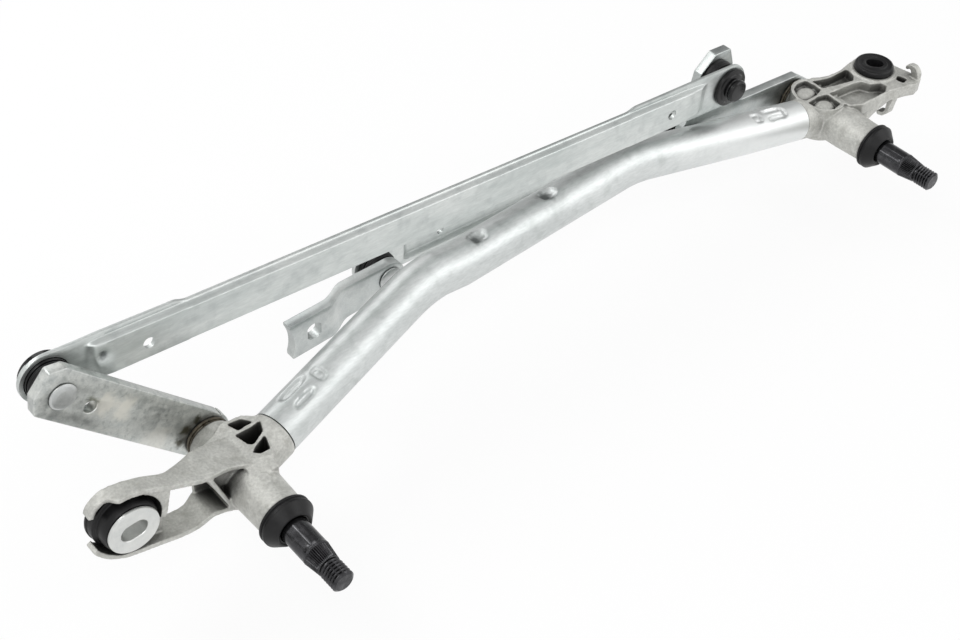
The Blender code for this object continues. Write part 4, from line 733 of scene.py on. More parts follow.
def combined(mesh, groups, cast=False):
    """Joins a mesh with others or cuts it, group by group. A casting is then remeshed and smoothed, which
    fillets every corner."""
    target = in_scene("target", mesh)
    helpers = []
    for operation, others in groups:
        for other in others:
            helper = in_scene("helper", other)
            step = target.modifiers.new("shape", "BOOLEAN")
            step.solver = "EXACT"
            step.operation = operation
            step.object = helper
            helpers.append(helper)
    if cast:
        remesh = target.modifiers.new("fine", "REMESH")
        remesh.mode = "VOXEL"
        remesh.voxel_size = MM * CAST_VOXEL
        fillets = target.modifiers.new("fillets", "SMOOTH")
        fillets.factor = 0.5
        fillets.iterations = FILLET_ROUNDS
        fewer = target.modifiers.new("fewer", "DECIMATE")
        fewer.ratio = KEPT_SHARE
    made = evaluated(target)
    for helper in helpers:
        bpy.data.objects.remove(helper)
    return made


def drill(x, z, radius, front, back, sides=64):
    profile = [(0.0, 0.0), (0.0, radius), (back - front, radius), (back - front, 0.0)]
    return turned("drill", profile, (x, front, z), Y, sides, 0.0)


LONG_END = 11.3
long_length = hypot(FAR_BALL[0] - NEAR_BALL[0], FAR_BALL[2] - NEAR_BALL[2])
long_edges = [(0.0, LONG_END), (13.0, 11.2), (19.0, 11.3), (54.0, 10.9), (60.0, 9.3)]
long_edges += from_base(long_length, [(-72.0, 9.3), (-65.0, 10.9), (-20.0, 11.3), (-13.0, 11.3),
                                      (0.0, LONG_END)])
long_crowns = [(15.5, 7.4, 0.0), (20.0, 7.8, 2.6), (26.0, 8.0, 3.1), (60.0, 7.9, 3.15)]
long_crowns += from_base(long_length, [(-66.0, 7.9, 3.15), (-34.0, 7.6, 3.1), (-24.0, 7.2, 2.2),
                                       (-16.5, 6.8, 0.0)])


def round_ended(along, length, radius, width):
    """The half width of a strip with round ends."""
    if along < 0.0:
        return sqrt(max(radius * radius - along * along, 0.01))
    if along > length:
        return sqrt(max(radius * radius - (along - length) ** 2, 0.01))
    return width


def with_round_ends(steps, length, radius):
    """Places along a strip, with close ones for its round ends before and after them."""
    tips = [radius * -cos(radians(4.0 + 6.6 * step)) for step in range(13)]
    return tips + steps + [length - along for along in tips[::-1]]


def long_shape(along):
    edge = round_ended(along, long_length, LONG_END, between(long_edges, along)[0])
    crown, rise = between(long_crowns, along)
    return edge, crown, rise


BORE_MARGIN = 3.0
long_steps = spaced([(0.0, 30.0, 0.6), (30.0, 66.0, 1.3), (66.0, long_length - 76.0, 6.0),
                     (long_length - 76.0, long_length, 1.3)])
long_way = ((FAR_BALL[0] - NEAR_BALL[0]) / long_length, (FAR_BALL[2] - NEAR_BALL[2]) / long_length)
long_mesh = pressed_link("long_link_pressed", NEAR_BALL, FAR_BALL, link_front,
                         with_round_ends(long_steps, long_length, LONG_END), long_shape,
                         [(22.5, 1.8, 2.6, 1.3)])
long_holes = []
for along, lift, radius, lead in ((0.0, 0.0, 9.5, BORE_MARGIN), (long_length, 0.0, 6.6, BORE_MARGIN),
                                  (41.0, -1.0, 2.6, 6.0), (long_length - 43.0, 0.0, 2.6, 6.0)):
    long_holes.append(drill(NEAR_BALL[0] + along * long_way[0], NEAR_BALL[2] + along * long_way[1] + lift,
                            radius, link_front - lead, link_back + BORE_MARGIN))
show("long_link_pressed", combined(long_mesh, [(CUT, long_holes)]), ZINC_LINK, "long_link", "long_link", 38.0)

short_length = hypot(SHORT_BALL[0] - CRANK_BALL[0], SHORT_BALL[2] - CRANK_BALL[2])
SHORT_END = 10.7
SHORT_HALF_WIDTH = 8.55
short_grooves = [(16.5, 4.6, 0.0), (20.5, 5.2, -2.5), (short_length - 30.0, 5.2, -2.5),
                 (short_length - 22.0, 4.6, 0.0)]


def short_shape(along):
    edge = min(SHORT_HALF_WIDTH, round_ended(along, short_length, SHORT_END, SHORT_END))
    groove, rise = between(short_grooves, along)
    return edge, groove, rise


short_steps = spaced([(0.0, 30.0, 1.2), (30.0, short_length - 36.0, 5.0),
                      (short_length - 36.0, short_length, 1.2)])
short_slope = (SHORT_BALL[2] - CRANK_BALL[2]) / short_length
short_mesh = pressed_link("short_link_pressed", CRANK_BALL, SHORT_BALL, short_front,
                          with_round_ends(short_steps, short_length, SHORT_END), short_shape)
short_holes = [drill(x, z, radius, short_front - BORE_MARGIN, short_back + 5.0) for x, z, radius in (
    (CRANK_BALL[0], CRANK_BALL[2], 5.9), (SHORT_BALL[0], SHORT_BALL[2], 5.9),
    (CRANK_BALL[0] + 40.5, CRANK_BALL[2] + 40.5 * short_slope - 0.9, 1.9))]
show("short_link_pressed", combined(short_mesh, [(CUT, short_holes)]), ZINC_LINK, "short_link", "short_link",
     38.0)

# Motor crank, joggled, with a hollow end and the motor shaft's hole with two flats
CRANK_LENGTH = 44.7
CRANK_JOGGLE = 5.0
crank_angle = radians(4.2)
crank_way = Vector((cos(crank_angle), sin(crank_angle)))
hub = Vector((CRANK_BALL[0], CRANK_BALL[2])) - CRANK_LENGTH * crank_way
crank_edges = [(-12.0, 9.7), (9.5, 9.5), (20.5, 9.0), (CRANK_LENGTH, 8.2)]
crank_steps = spaced([(-11.9, 6.0, 1.5), (6.0, 25.0, 0.8), (25.0, CRANK_LENGTH, 1.6)])
crank_steps += [CRANK_LENGTH + 8.2 * sin(radians(7.4 * step)) for step in range(1, 12)]
crank_rings = []
for along in crank_steps:
    edge = between(crank_edges, along)[0]
    if along > CRANK_LENGTH:
        edge = sqrt(max(8.2 ** 2 - (along - CRANK_LENGTH) ** 2, 0.05))
    soft = min(0.5, 0.4 * edge)
    forward = CRANK_JOGGLE * (1.0 - ease((along - 8.5) / 13.0))
    ring = []
    for side_sign, face in ((-1.0, 0), (1.0, 0), (1.0, 1), (-1.0, 1)):
        y = (FAR_LEVER_FRONT, FAR_LEVER_BACK)[face]
        inward = soft if face == 0 else -soft
        corner = [(side_sign * (edge - soft), y), (side_sign * (edge - 0.29 * soft), y + 0.29 * inward),
                  (side_sign * edge, y + inward)]
        if (side_sign < 0.0) == (face == 0):
            corner = corner[::-1]
        ring += corner
        if (side_sign < 0.0) == (face == 0):
            ring += [(side_sign * (edge - soft) * (1.0 - 2.0 * share / 9.0), y) for share in range(1, 9)]
    placed = []
    for up, y in ring:
        point = hub + along * crank_way + up * Vector((-crank_way.y, crank_way.x))
        placed.append((point.x, y - forward, point.y))
    crank_rings.append(placed)
crank_mesh = strip("motor_crank_pressed", crank_rings)
crank_front = FAR_LEVER_FRONT - CRANK_JOGGLE
# The double D of the motor shaft: round at its ends, with two flats
HOLE_RADIUS = 4.4
flat = acos(3.3 / 4.0)
motor_hole = []
for step in range(-10, 11):
    angle = pi / 2 + step / 10.0 * (pi / 2 - flat)
    motor_hole.append((hub.x + HOLE_RADIUS * cos(angle), hub.y + HOLE_RADIUS * sin(angle)))
motor_hole += [(2.0 * hub.x - x, 2.0 * hub.y - z) for x, z in motor_hole]
hollow = hub - 31.0 * crank_way
hole_front = crank_front - 2.0
hole_back = crank_front + 7.0
crank_mesh = combined(crank_mesh, [(CUT, [
    strip("motor_hole", [[(x, y, z) for x, z in motor_hole] for y in (hole_front, hole_back)]),
    drill(hollow.x, hollow.y, 20.6, hole_front, hole_back, 128),
    drill(CRANK_BALL[0], CRANK_BALL[2], STUD_HOLE, FAR_LEVER_FRONT - 2.0, FAR_LEVER_BACK + 2.0)])])
show("motor_crank_pressed", crank_mesh, ZINC_PLATE, "crank", "motor_crank", 38.0)

# Ball sockets and their boots. The near socket is wider than its ball, as in the solids
NEAR_CAVITY = 7.8
NEAR_SLEEVE = 9.2
BALL_CAVITY = 4.3
MOUTH_RADIUS = 3.7
SOCKET_BODY = 6.3
SHEET_GAP = 0.32
near_place = (NEAR_BALL[0], 0.0, NEAR_BALL[2])
far_place = (FAR_BALL[0], 0.0, FAR_BALL[2])
near_boot = from_base(LEVER_BACK + 0.75, [(0.0, NEAR_CAVITY), (0.0, 9.0), (1.2, 9.5), (1.7, 9.15), (2.4, 9.6),
                                          (3.0, 9.0)])
near_boot += from_base(link_front, [(-2.4, 8.9), (-1.4, 8.9), (-1.4, NEAR_CAVITY)])
show_turned("near_boot", "moulded", near_boot, near_place, RUBBER, "long_link")
floor_at = ball_level + 4.6
near_socket = from_base(floor_at, [(1.15, 0.0), (1.15, 3.0), (0.9, 3.6), (1.15, 4.2), (1.15, 8.6),
                                   (0.6, 9.6)])
near_socket += from_base(link_back, [(SHEET_GAP, 9.85), (SHEET_GAP, NEAR_SLEEVE)])
near_socket += from_base(link_front, [(-1.05, NEAR_SLEEVE), (-1.05, NEAR_CAVITY)])
near_socket += from_base(floor_at, [(-0.5, NEAR_CAVITY), (0.0, NEAR_CAVITY - 0.5), (0.0, 0.0)])
show_turned("near_socket", "moulded", near_socket, near_place, NYLON, "long_link")


def cavity(centre, way):
    """The ball's hollow in a socket, from its mouth to its floor."""
    opening = asin(MOUTH_RADIUS / BALL_CAVITY)
    points = []
    for step in range(17):
        angle = opening + (pi - opening) * step / 16.0
        points.append((centre + way * BALL_CAVITY * cos(angle), BALL_CAVITY * sin(angle)))
    points[-1] = (centre - way * BALL_CAVITY, 0.0)
    return points


far_mouth = link_back + 2.6
far_socket = from_base(link_front - 7.0, [(0.0, 0.0), (0.0, 4.9), (0.7, 5.8), (2.0, 6.0), (2.5, 5.5)])
far_socket += from_base(link_front, [(-3.9, 5.0), (-3.3, 5.4), (-2.9, 7.4), (-2.3, 7.9), (-2.1, 9.4),
                                     (-1.8, 9.95), (-SHEET_GAP, 9.95), (-SHEET_GAP, SOCKET_BODY)])
far_socket += from_base(link_back, [(SHEET_GAP, SOCKET_BODY), (SHEET_GAP, SOCKET_BODY + 1.55),
                                    (1.5, SOCKET_BODY + 1.55)])
far_socket += from_base(far_mouth, [(-0.05, SOCKET_BODY), (-0.05, 4.0)]) + cavity(ball_level, 1.0)
show_turned("far_socket", "moulded", far_socket, far_place, NYLON, "long_link", soft=0.28)
far_boot = from_base(far_mouth, [(0.3, 5.0), (0.3, 9.4), (1.5, 9.9), (2.1, 9.5), (2.8, 9.95)])
far_boot += from_base(FAR_LEVER_FRONT, [(-0.75, 9.9), (-0.75, 5.0)])
show_turned("far_boot", "moulded", far_boot, far_place, RUBBER, "long_link")

short_mouth = short_front - 2.6
short_socket = from_base(short_level + BALL_CAVITY + 1.5, [
    (0.0, 0.0), (0.0, 1.9), (-0.3, 2.4), (0.0, 2.9), (0.0, 3.8), (-1.2, 6.4)])
short_socket += from_base(short_back, [(SHEET_GAP, 6.45), (SHEET_GAP, 5.6)])
short_socket += from_base(short_front, [(-SHEET_GAP, 5.6), (-SHEET_GAP, 8.55), (-1.3, 8.6), (-1.6, 8.2),
                                        (-1.9, 8.6)])
short_socket += from_base(short_mouth, [(0.05, 8.5), (0.05, 4.0)]) + cavity(short_level, -1.0)
short_boot = from_base(short_mouth - 0.3, [
    (0.0, 5.0), (0.0, 8.4), (-0.9, 8.55), (-1.3, 8.15), (-1.8, 8.5), (-2.3, 8.3), (-3.15, 7.7), (-3.15, 5.0)])
for side, ball in (("crank", CRANK_BALL), ("lever", SHORT_BALL)):
    place = (ball[0], 0.0, ball[2])
    show_turned(side + "_short_socket", "moulded", short_socket, place, NYLON, "short_link", 80, 0.22)
    show_turned(side + "_short_boot", "moulded", short_boot, place, RUBBER, "short_link", 80, 0.25)

# Mounting grommets
NEAR_EYE = Vector((-53.5, 0.0, 14.5))
SLEEVE_FACE = 57.6
SLEEVE_SLOT = (11.3, 8.0, 6.0)
GROMMET_BACK = 69.3
near_grommet = from_base(SLEEVE_FACE, [(1.7, 8.7), (1.7, 10.9), (2.2, 11.2), (2.9, 11.5), (3.6, 11.7),
                                       (4.4, 11.8), (7.6, 11.8), (8.0, 13.5)])
near_grommet += from_base(GROMMET_BACK, [(0.0, 13.5), (0.0, 13.9), (1.2, 13.9), (2.0, 13.4), (2.0, 8.7)])
show_turned("near_grommet", "moulded", near_grommet, NEAR_EYE, RUBBER, "frame", 112, 0.4)
sleeve = from_base(SLEEVE_FACE, [
    (0.05, 4.25, 1.0), (0.0, 4.5, 1.0), (0.0, 7.4, 0.3), (0.0, 10.3, 0.0), (0.12, 10.6, 0.0),
    (0.4, 10.72, 0.0), (1.2, 10.72, 0.0), (1.4, 10.5, 0.0), (1.4, 8.4, 0.0)])
sleeve += from_base(GROMMET_BACK + 2.6, [(-0.2, 8.4, 0.0), (0.0, 8.2, 0.0), (0.0, 4.4, 1.0),
                                         (-0.3, 4.05, 1.0)])
sleeve += from_base(SLEEVE_FACE, [(0.35, 4.02, 1.0)])
show("near_sleeve_turned", slotted("near_sleeve_turned", sleeve, NEAR_EYE, Y, *SLEEVE_SLOT, 112),
     BRIGHT_SLEEVE, "frame", "near_grommet_sleeve")

FAR_EYE = Vector((SPINDLE_SPACING + 39.0, 95.3, 0.0))
FAR_SLOT = (9.2, 7.0, -45.0)
EYE_LOW = 4.1
EYE_TOP = 13.0
far_grommet = from_base(EYE_LOW, [(-2.35, 3.6, 1.0), (-2.35, 9.0, 0.0), (-1.6, 10.5, 0.0), (0.0, 10.55, 0.0),
                                  (0.0, 9.15, 0.0)])
far_grommet += from_base(EYE_TOP, [(0.32, 9.15, 0.0), (0.32, 10.3, 0.0), (0.7, 10.55, 0.0)])
far_grommet += from_base(16.6, [
    (-1.3, 10.4, 0.0), (-0.5, 9.9, 0.0), (-0.1, 9.1, 0.0), (-0.35, 8.4, 0.1), (-0.35, 6.3, 0.5),
    (0.0, 5.7, 0.7), (0.0, 4.2, 1.0), (-0.3, 3.6, 1.0), (-0.8, 3.5, 1.0)])
far_grommet += from_base(EYE_LOW, [(-2.0, 3.5, 1.0)])
show("far_grommet_moulded", slotted("far_grommet_moulded", far_grommet, FAR_EYE, Z, *FAR_SLOT), RUBBER,
     "frame", "far_grommet")

# Thrust washers, each a stack of a wave washer and a shim
for side, x, setback in SPINDLES:
    low, high = span(side + "_thrust_washer", 1)
    washer = from_base(low, [(0.0, 6.35), (0.0, 9.3), (0.35, 9.5), (0.7, 9.3), (0.8, 8.9), (1.0, 9.8),
                             (1.5, 9.95)])
    washer += from_base(high, [(-0.4, 9.9), (0.0, 9.6), (0.0, 6.35)])
    show_turned(side + "_thrust_washer", "stamped", washer, (x, 0.0, 0.0), GREASED, "frame", soft=0.12)


# Castings


def prism(outline, low, high, axis, radius=0.6):
    """A rounded outline made into a straight block: X and Z along Y, X and Y along Z, or Y and Z along X."""
    outline = rounded(outline, radius)
    rings = []
    for level in (low, high):
        if axis == "Y":
            rings.append([(a, level, b) for a, b in outline])
        elif axis == "Z":
            rings.append([(a, b, level) for a, b in outline])
        else:
            rings.append([(level, a, b) for a, b in outline])
    return strip("block", rings)


def smooth_path(stations, steps=6):
    """Points on a smooth curve through the stations."""
    points = []
    for index in range(len(stations) - 1):
        zero = stations[max(index - 1, 0)]
        one = stations[index]
        two = stations[index + 1]
        three = stations[min(index + 2, len(stations) - 1)]
        for step in range(steps):
            t = step / steps
            weights = (0.5 * (-t + 2 * t * t - t ** 3), 0.5 * (2 - 5 * t * t + 3 * t ** 3),
                       0.5 * (t + 4 * t * t - 3 * t ** 3), 0.5 * (t ** 3 - t * t))
            points.append(tuple(sum(w * p[i] for w, p in zip(weights, (zero, one, two, three)))
                                for i in range(len(one))))
    points.append(tuple(stations[-1]))
    return points


def ribbon(stations, thickness):
    """A curved wall of the fork. Each station is (x, z, front, back) from the fork's front face."""
    path = smooth_path(stations)
    rings = []
    for index, (x, z, front, back) in enumerate(path):
        one = path[max(index - 1, 0)]
        two = path[min(index + 1, len(path) - 1)]
        run = max(hypot(two[0] - one[0], two[1] - one[1]), 1e-6)
        out_x = (two[1] - one[1]) / run * thickness
        out_z = -(two[0] - one[0]) / run * thickness
        rings.append([(x, FORK_FRONT + front, z), (x, FORK_FRONT + back, z),
                      (x + out_x, FORK_FRONT + back, z + out_z), (x + out_x, FORK_FRONT + front, z + out_z)])
    return strip("ribbon", rings)


def spigot(start, way, collar, radius, length):
    profile = [(-4.0, 0.0), (-4.0, radius), (collar - 0.6, radius), (collar, radius - 0.5),
               (collar + 0.01, 8.6),
               (collar + 5.0, 8.6), (collar + 5.1, 6.9), (collar + length - 0.1, 6.9), (collar + length, 8.6),
               (collar + length + 5.0, 8.6), (collar + length + 6.0, 7.6), (collar + length + 6.0, 0.0)]
    return turned("spigot", profile, start, way, 72, 0.0)


def barrel(x, setback):
    profile = [(36.6, 0.0), (36.6, 8.9), (40.1, 8.9), (40.2, 10.1), (57.0, 10.6), (90.7, 10.2), (91.5, 9.6),
               (91.5, 0.0)]
    return turned("barrel", profile, (x, setback, 0.0), Y, 80, 0.0)


FORK_FRONT = 60.0
FORK_WALL = 2.3
SPINDLE_BORE = 7.7
TABLE_TOP = 12.0
near_table = prism([(-16.6, 78.7), (-3.2, 83.2), (2.3, 86.8), (11.5, 85.8), (17.0, 81.3), (10.3, 60.0),
                    (3.2, 62.6), (-3.1, 64.0), (-15.0, 65.0)], 4.0, TABLE_TOP, "Z")
near_pockets = [
    [(4.3, 85.0), (10.4, 84.2), (13.6, 79.8), (6.1, 79.5)],
    [(3.6, 78.0), (15.6, 77.9), (13.4, 72.6), (6.9, 69.6), (5.2, 70.8)],
    [(6.9, 68.2), (13.2, 71.0), (10.8, 63.6), (6.2, 64.0), (4.2, 66.0)],
]
upper_tongue = ribbon([
    (0.0, 9.8, 1.0, 19.0), (-9.0, 12.8, 2.2, 18.5), (-17.0, 15.8, 0.4, 16.5), (-22.0, 16.9, 0.0, 14.6),
    (-29.6, 20.0, 0.0, 10.6), (-35.8, 22.6, 0.0, 8.1), (-44.5, 27.0, 0.0, 7.9), (-52.0, 29.4, 0.0, 8.0),
    (-57.0, 29.7, 0.0, 8.6), (-59.6, 29.2, 3.6, 9.0), (-62.4, 27.8, 4.2, 9.0), (-64.6, 25.8, 4.2, 9.0),
    (-65.6, 23.4, 4.2, 9.0)], FORK_WALL)
lower_tongue = ribbon([
    (-66.8, 8.6, 3.0, 8.4), (-65.6, 6.6, 2.2, 8.8), (-62.6, 4.2, 0.8, 9.0), (-58.0, 2.0, 0.0, 9.0),
    (-54.0, 0.5, 0.0, 9.0), (-47.5, -1.0, 0.0, 9.0), (-41.0, -2.4, 0.0, 11.6), (-33.0, -4.3, 0.0, 12.4),
    (-25.6, -4.6, 0.0, 12.6), (-19.0, -2.8, 0.0, 15.0), (-12.0, -4.2, 0.0, 16.0), (-5.0, -7.6, 0.0, 16.0)],
    FORK_WALL)
# Outline, front, back and corner radius of the webs between the tongues
near_webs = [
    ([(-46.0, 27.4), (-35.0, 22.0), (-37.3, 11.0), (-38.6, 8.2), (-50.0, 14.0)], FORK_FRONT + 1.2,
     FORK_FRONT + 8.8, 0.6),
    ([(-46.0, 20.0), (-37.0, 12.0), (-38.8, -2.6), (-47.0, -1.6), (-50.0, 14.0)], FORK_FRONT + 5.0,
     FORK_FRONT + 8.8, 0.6),
    ([(-20.2, 17.2), (-18.2, 17.2), (-9.0, -5.6), (-11.0, -5.6)], FORK_FRONT, 76.0, 0.1),
    ([(-20.0, 16.6), (0.0, 10.6), (0.0, -7.0), (-12.0, -5.0), (-19.0, -3.6)], 73.5, 76.0, 0.1),
    ([(-16.0, 13.8), (-2.0, 10.6), (-2.0, -7.4), (-10.0, -5.6)], 65.5, 76.0, 0.1),
]
table_front = prism([(55.5, 9.9), (62.0, TABLE_TOP - 0.3), (63.5, TABLE_TOP), (63.5, 4.0), (55.5, 4.0)],
                    -2.6, 9.4, "X", 0.1)
ejector_mark = turned("ejector_mark", [(0.0, 0.0), (0.0, 2.6), (6.0, 2.6), (6.0, 0.0)], (1.0, 53.5, 4.8), Z,
                      40, 0.0)
near_casting = combined(near_table, [
    (JOIN, [spigot(TUBE_NEAR_END, run_1, NEAR_COLLAR_LENGTH, 10.9, 38.0), barrel(0.0, 0.0)]),
    (CUT, [prism(outline, 0.0, TABLE_TOP + 6.0, "Z", 0.3) for outline in near_pockets]),
    (JOIN, [drill(0.0, 0.0, 8.9, 50.0, 91.0), upper_tongue, lower_tongue]),
    (JOIN, [prism(outline, front, back, "Y", radius) for outline, front, back, radius in near_webs]),
    (JOIN, [table_front, ejector_mark]),
    (CUT, [drill(NEAR_EYE.x, NEAR_EYE.z, 13.6, 56.0, 80.0, 96), drill(0.0, 0.0, SPINDLE_BORE, 34.0, 94.0)]),
], True)
show("near_housing_cast", near_casting, CAST, "frame", "near_housing", 60.0)

# Far housing
ARM_TOP = 12.0
ARM_BOTTOM = 5.0
CELL_FLOOR = 8.2
POCKET_FLOOR = 6.3


def far(points):
    return [(SPINDLE_SPACING + x, y) for x, y in points]


def oval(x, y, half_width, half_length, level, sides=72):
    return [(SPINDLE_SPACING + x + half_width * cos(2.0 * pi * step / sides),
             y + half_length * sin(2.0 * pi * step / sides), level) for step in range(sides)]


def dome(x, y, half_width, half_length, low, height):
    rings = [oval(x, y, half_width, half_length, low - 1.5, 40)]
    for step in range(9):
        angle = 0.5 * pi * step / 8.5
        rings.append(oval(x, y, half_width * cos(angle), half_length * cos(angle), low + height * sin(angle),
                          40))
    return strip("dome", rings)


arm_outline = far([
    (2.2, 81.3), (9.2, 77.4), (20.5, 77.0), (31.5, 77.0), (42.6, 74.4), (47.5, 72.6), (54.2, 74.4),
    (54.2, 80.0),
    (52.6, 88.0), (51.6, 94.3), (46.5, 105.3), (39.0, 108.2), (33.0, 107.5), (24.5, 105.8), (15.5, 106.1),
    (10.2, 107.8), (4.0, 111.5)])
cells = [
    [(-9.8, 108.6), (-4.4, 110.9), (1.6, 110.4), (2.2, 104.7), (1.8, 99.8), (-3.4, 98.0), (-13.5, 97.9),
     (-13.3, 102.6)],
    [(-13.5, 95.6), (-4.4, 96.4), (1.2, 95.0), (0.4, 85.0), (-6.6, 83.8), (-12.4, 88.8)],
    [(3.6, 108.0), (9.6, 105.6), (9.6, 98.7), (3.4, 99.8)],
    [(2.6, 94.9), (9.6, 94.2), (9.6, 78.8), (4.0, 81.2), (2.2, 85.0)],
]
arm_pockets = [
    [(9.0, 105.8), (14.5, 104.5), (28.2, 104.2), (26.4, 98.2), (22.6, 95.2), (9.0, 98.2)],
    [(9.0, 94.3), (20.3, 93.4), (25.4, 92.0), (27.6, 87.4), (33.0, 84.2), (33.4, 81.4), (28.6, 78.3),
     (21.7, 78.2), (9.0, 78.8)],
    [(41.8, 82.0), (46.0, 84.0), (47.4, 78.8), (42.7, 77.5)],
]
boss = strip("boss", [oval(-3.0, 97.8, half_width, half_length, level) for half_width, half_length, level in (
    (9.0, 12.0, -9.8), (10.2, 13.4, -9.0), (11.2, 14.3, -7.6), (12.3, 15.35, ARM_TOP))])
arm_web = prism(far([(4.0, -8.8), (12.0, -4.8), (23.0, 0.6), (37.0, 4.6), (37.0, 6.0), (4.0, 6.0)]), 77.8,
                80.0, "Y", 0.1)
hook = prism([(74.8, 5.6), (74.6, 14.6), (76.0, 17.2), (78.6, 18.8), (81.4, 18.5), (83.6, 16.6), (83.5, 15.0),
              (82.2, 14.7), (81.2, 15.9), (80.0, 15.6), (79.5, 14.4), (79.5, 5.6)],
             SPINDLE_SPACING + 50.3, SPINDLE_SPACING + 53.7, "X", 1.0)
finger = prism([(77.3, 6.0), (78.9, -6.2), (81.8, -9.4), (84.8, -9.8), (86.0, -8.2), (84.6, -7.2),
                (81.8, -6.8),
                (80.8, -4.8), (80.8, 6.0)], SPINDLE_SPACING + 36.7, SPINDLE_SPACING + 41.7, "X", 1.0)
eye = turned("eye", [(4.4, 0.0), (4.4, 12.1), (EYE_TOP, 12.1), (EYE_TOP, 0.0)], FAR_EYE, Z, 96, 0.0)
eye_bore = turned("eye_bore", [(0.0, 0.0), (0.0, 9.5), (18.0, 9.5), (18.0, 0.0)], FAR_EYE, Z, 96, 0.0)
far_casting = combined(boss, [
    (JOIN, [barrel(SPINDLE_SPACING, FAR_SETBACK), spigot(TUBE_FAR_END, -run_3, FAR_COLLAR_LENGTH, 10.5,
                                                         44.0)]),
    (JOIN, [prism(arm_outline, ARM_BOTTOM, ARM_TOP, "Z", 2.5), arm_web, hook, finger]),
    (CUT, [prism(far(outline), CELL_FLOOR, ARM_TOP + 4.0, "Z", 0.9) for outline in cells]),
    (CUT, [prism(far(outline), POCKET_FLOOR, ARM_TOP + 4.0, "Z", 0.9) for outline in arm_pockets]),
    (JOIN, [dome(-5.2, 104.2, 6.9, 5.3, 8.0, 3.2), dome(-5.8, 90.5, 6.2, 5.4, 8.0, 3.2), eye]),
    (CUT, [eye_bore, drill(SPINDLE_SPACING, 0.0, SPINDLE_BORE, FAR_SETBACK + 34.0, FAR_SETBACK + 94.0)]),
], True)
show("far_housing_cast", far_casting, CAST, "frame", "far_housing", 60.0)

# Camera at the photograph's view
CAMERA_PLACE = (-0.21114, -0.29555, 0.47011)
back = Vector((-0.4971, -0.5420, 0.6776)).normalized()
right = Vector((0.4086, 0.5427, 0.7338)).cross(back).normalized()
up = back.cross(right)
camera_data = bpy.data.cameras.new("photo_camera")
camera_data.sensor_width = 36.0
camera_data.lens = 58.5
camera_data.clip_start = 0.02
camera_data.clip_end = 20.0
camera = in_scene("photo_camera", camera_data)
camera.matrix_world = Matrix([*zip(right, up, back, CAMERA_PLACE), (0.0, 0.0, 0.0, 1.0)])
bpy.context.scene.camera = camera


# Light


def lamp(name, place, target, size, power):
    data = bpy.data.lights.new(name, "AREA")
    data.shape = "SQUARE"
    data.size = size
    data.energy = power
    made = in_scene(name, data)
    made.location = place
    made.rotation_euler = (Vector(target) - Vector(place)).to_track_quat("-Z", "Y").to_euler()


centre = (0.17, 0.08, 0.01)
lamp("key_softbox", (-0.55, -0.75, 1.1), centre, 0.9, 6.0)
lamp("fill_softbox", (1.0, -0.7, 0.8), centre, 0.9, 3.5)
lamp("edge_softbox", (-0.34, 0.58, 0.78), (0.2, 0.03, 0.0), 0.4, 2.0)
lamp("back_softbox", (0.3, 1.3, 0.9), centre, 0.9, 4.0)

# White surroundings. Metal sees them greyer overhead and dark behind the object, which gives it its contrast
DARK_WALL = (0.37, 0.83, 0.42)
world = bpy.data.worlds.new("white_studio")
world.use_nodes = True
sky = world.node_tree
sky.nodes.clear()
direction = add(sky, "TexCoord").outputs["Generated"]
height = add(sky, "SeparateXYZ", {"Vector": direction}).outputs["Z"]
falloff = add(sky, "MapRange", {"Value": height, "From Min": -0.1, "From Max": 0.9, "To Min": 1.0,
                                "To Max": 0.72},
              interpolation_type="SMOOTHSTEP")
rays = add(sky, "LightPath").outputs
seen = add(sky, "Background", {"Color": linear("#FFFFFF"), "Strength": 1.0})
facing_wall = add(sky, "VectorMath", {0: direction, 1: DARK_WALL}, operation="DOT_PRODUCT").outputs["Value"]
wall = add(sky, "MapRange", {"Value": facing_wall, "From Min": 0.6, "From Max": 0.98, "To Min": 1.0,
                             "To Max": 0.22},
           interpolation_type="SMOOTHSTEP")
shaded = add(sky, "Math", {0: falloff, 1: wall}, operation="MULTIPLY")
mirrored = add(sky, "Background", {"Color": linear("#FFFFFF"), "Strength": shaded})
lighting = add(sky, "Background", {"Color": linear("#FFFFFF"), "Strength": 0.62})
first = add(sky, "MixShader", {0: rays["Is Glossy Ray"], 1: lighting, 2: mirrored})
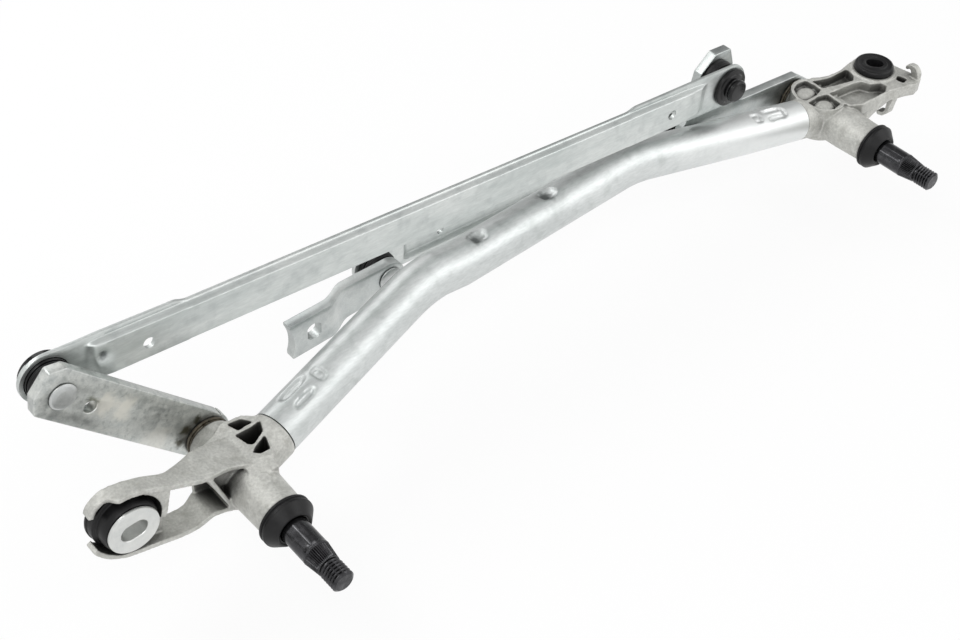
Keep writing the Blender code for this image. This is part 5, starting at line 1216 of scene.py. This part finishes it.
through = add(sky, "Math", {0: rays["Is Camera Ray"], 1: rays["Is Transmission Ray"]}, operation="MAXIMUM")
second = add(sky, "MixShader", {0: through, 1: first, 2: seen})
add(sky, "OutputWorld", {"Surface": second})
bpy.context.scene.world = world

# Pale floor
floor_level = cad_box[0][2] - 0.03
floor_mesh = bpy.data.meshes.new("studio_floor")
floor_corners = [(x, y, floor_level) for x, y in ((-6, -6), (6, -6), (6, 6), (-6, 6))]
floor_mesh.from_pydata(floor_corners, [], [[0, 1, 2, 3]])
floor = in_scene("studio_floor", floor_mesh)
paper, tree = blank("white_paper")
rays = add(tree, "LightPath").outputs
matt = add(tree, "BsdfDiffuse", {"Color": linear("#F4F4F4")})
glow = add(tree, "Emission", {"Color": linear("#FFFFFF"), "Strength": 1.0})
# Only reflections meet the dimmed glow, never the camera's own rays, so nothing here follows the camera
behind = add(tree, "SeparateXYZ", {"Vector": add(tree, "NewGeometry").outputs["Incoming"]}).outputs["Y"]
dimmed = add(tree, "MapRange", {"Value": behind, "From Min": -0.1, "From Max": -0.5, "To Min": 1.0,
                                "To Max": 0.75},
             interpolation_type="SMOOTHSTEP")
mirrored_glow = add(tree, "Emission", {"Color": linear("#FFFFFF"), "Strength": dimmed})
first = add(tree, "MixShader", {0: rays["Is Glossy Ray"], 1: matt, 2: mirrored_glow})
# Rays from the camera meet a white glow, and the lit paper enough for the object's faint shadow to stay
SHADOW_SHARE = 0.12
whitened = add(tree, "Math", {0: rays["Is Camera Ray"], 1: 1.0 - SHADOW_SHARE}, operation="MULTIPLY")
mixed = add(tree, "MixShader", {0: whitened, 1: first, 2: glow})
add(tree, "OutputMaterial", {"Surface": mixed})
floor_mesh.materials.append(paper)

bpy.context.scene.view_settings.view_transform = "Standard"

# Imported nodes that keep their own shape, all hidden inside, take their finish here
LOOKS = {BRONZE: ["near_front_bush", "near_back_bush", "far_front_bush", "far_back_bush"],
         GREASED: ["near_retaining_ring", "far_retaining_ring"]}
for finish, names in LOOKS.items():
    for name in names:
        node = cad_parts[name]
        for slot in node.material_slots:
            slot.material = finish
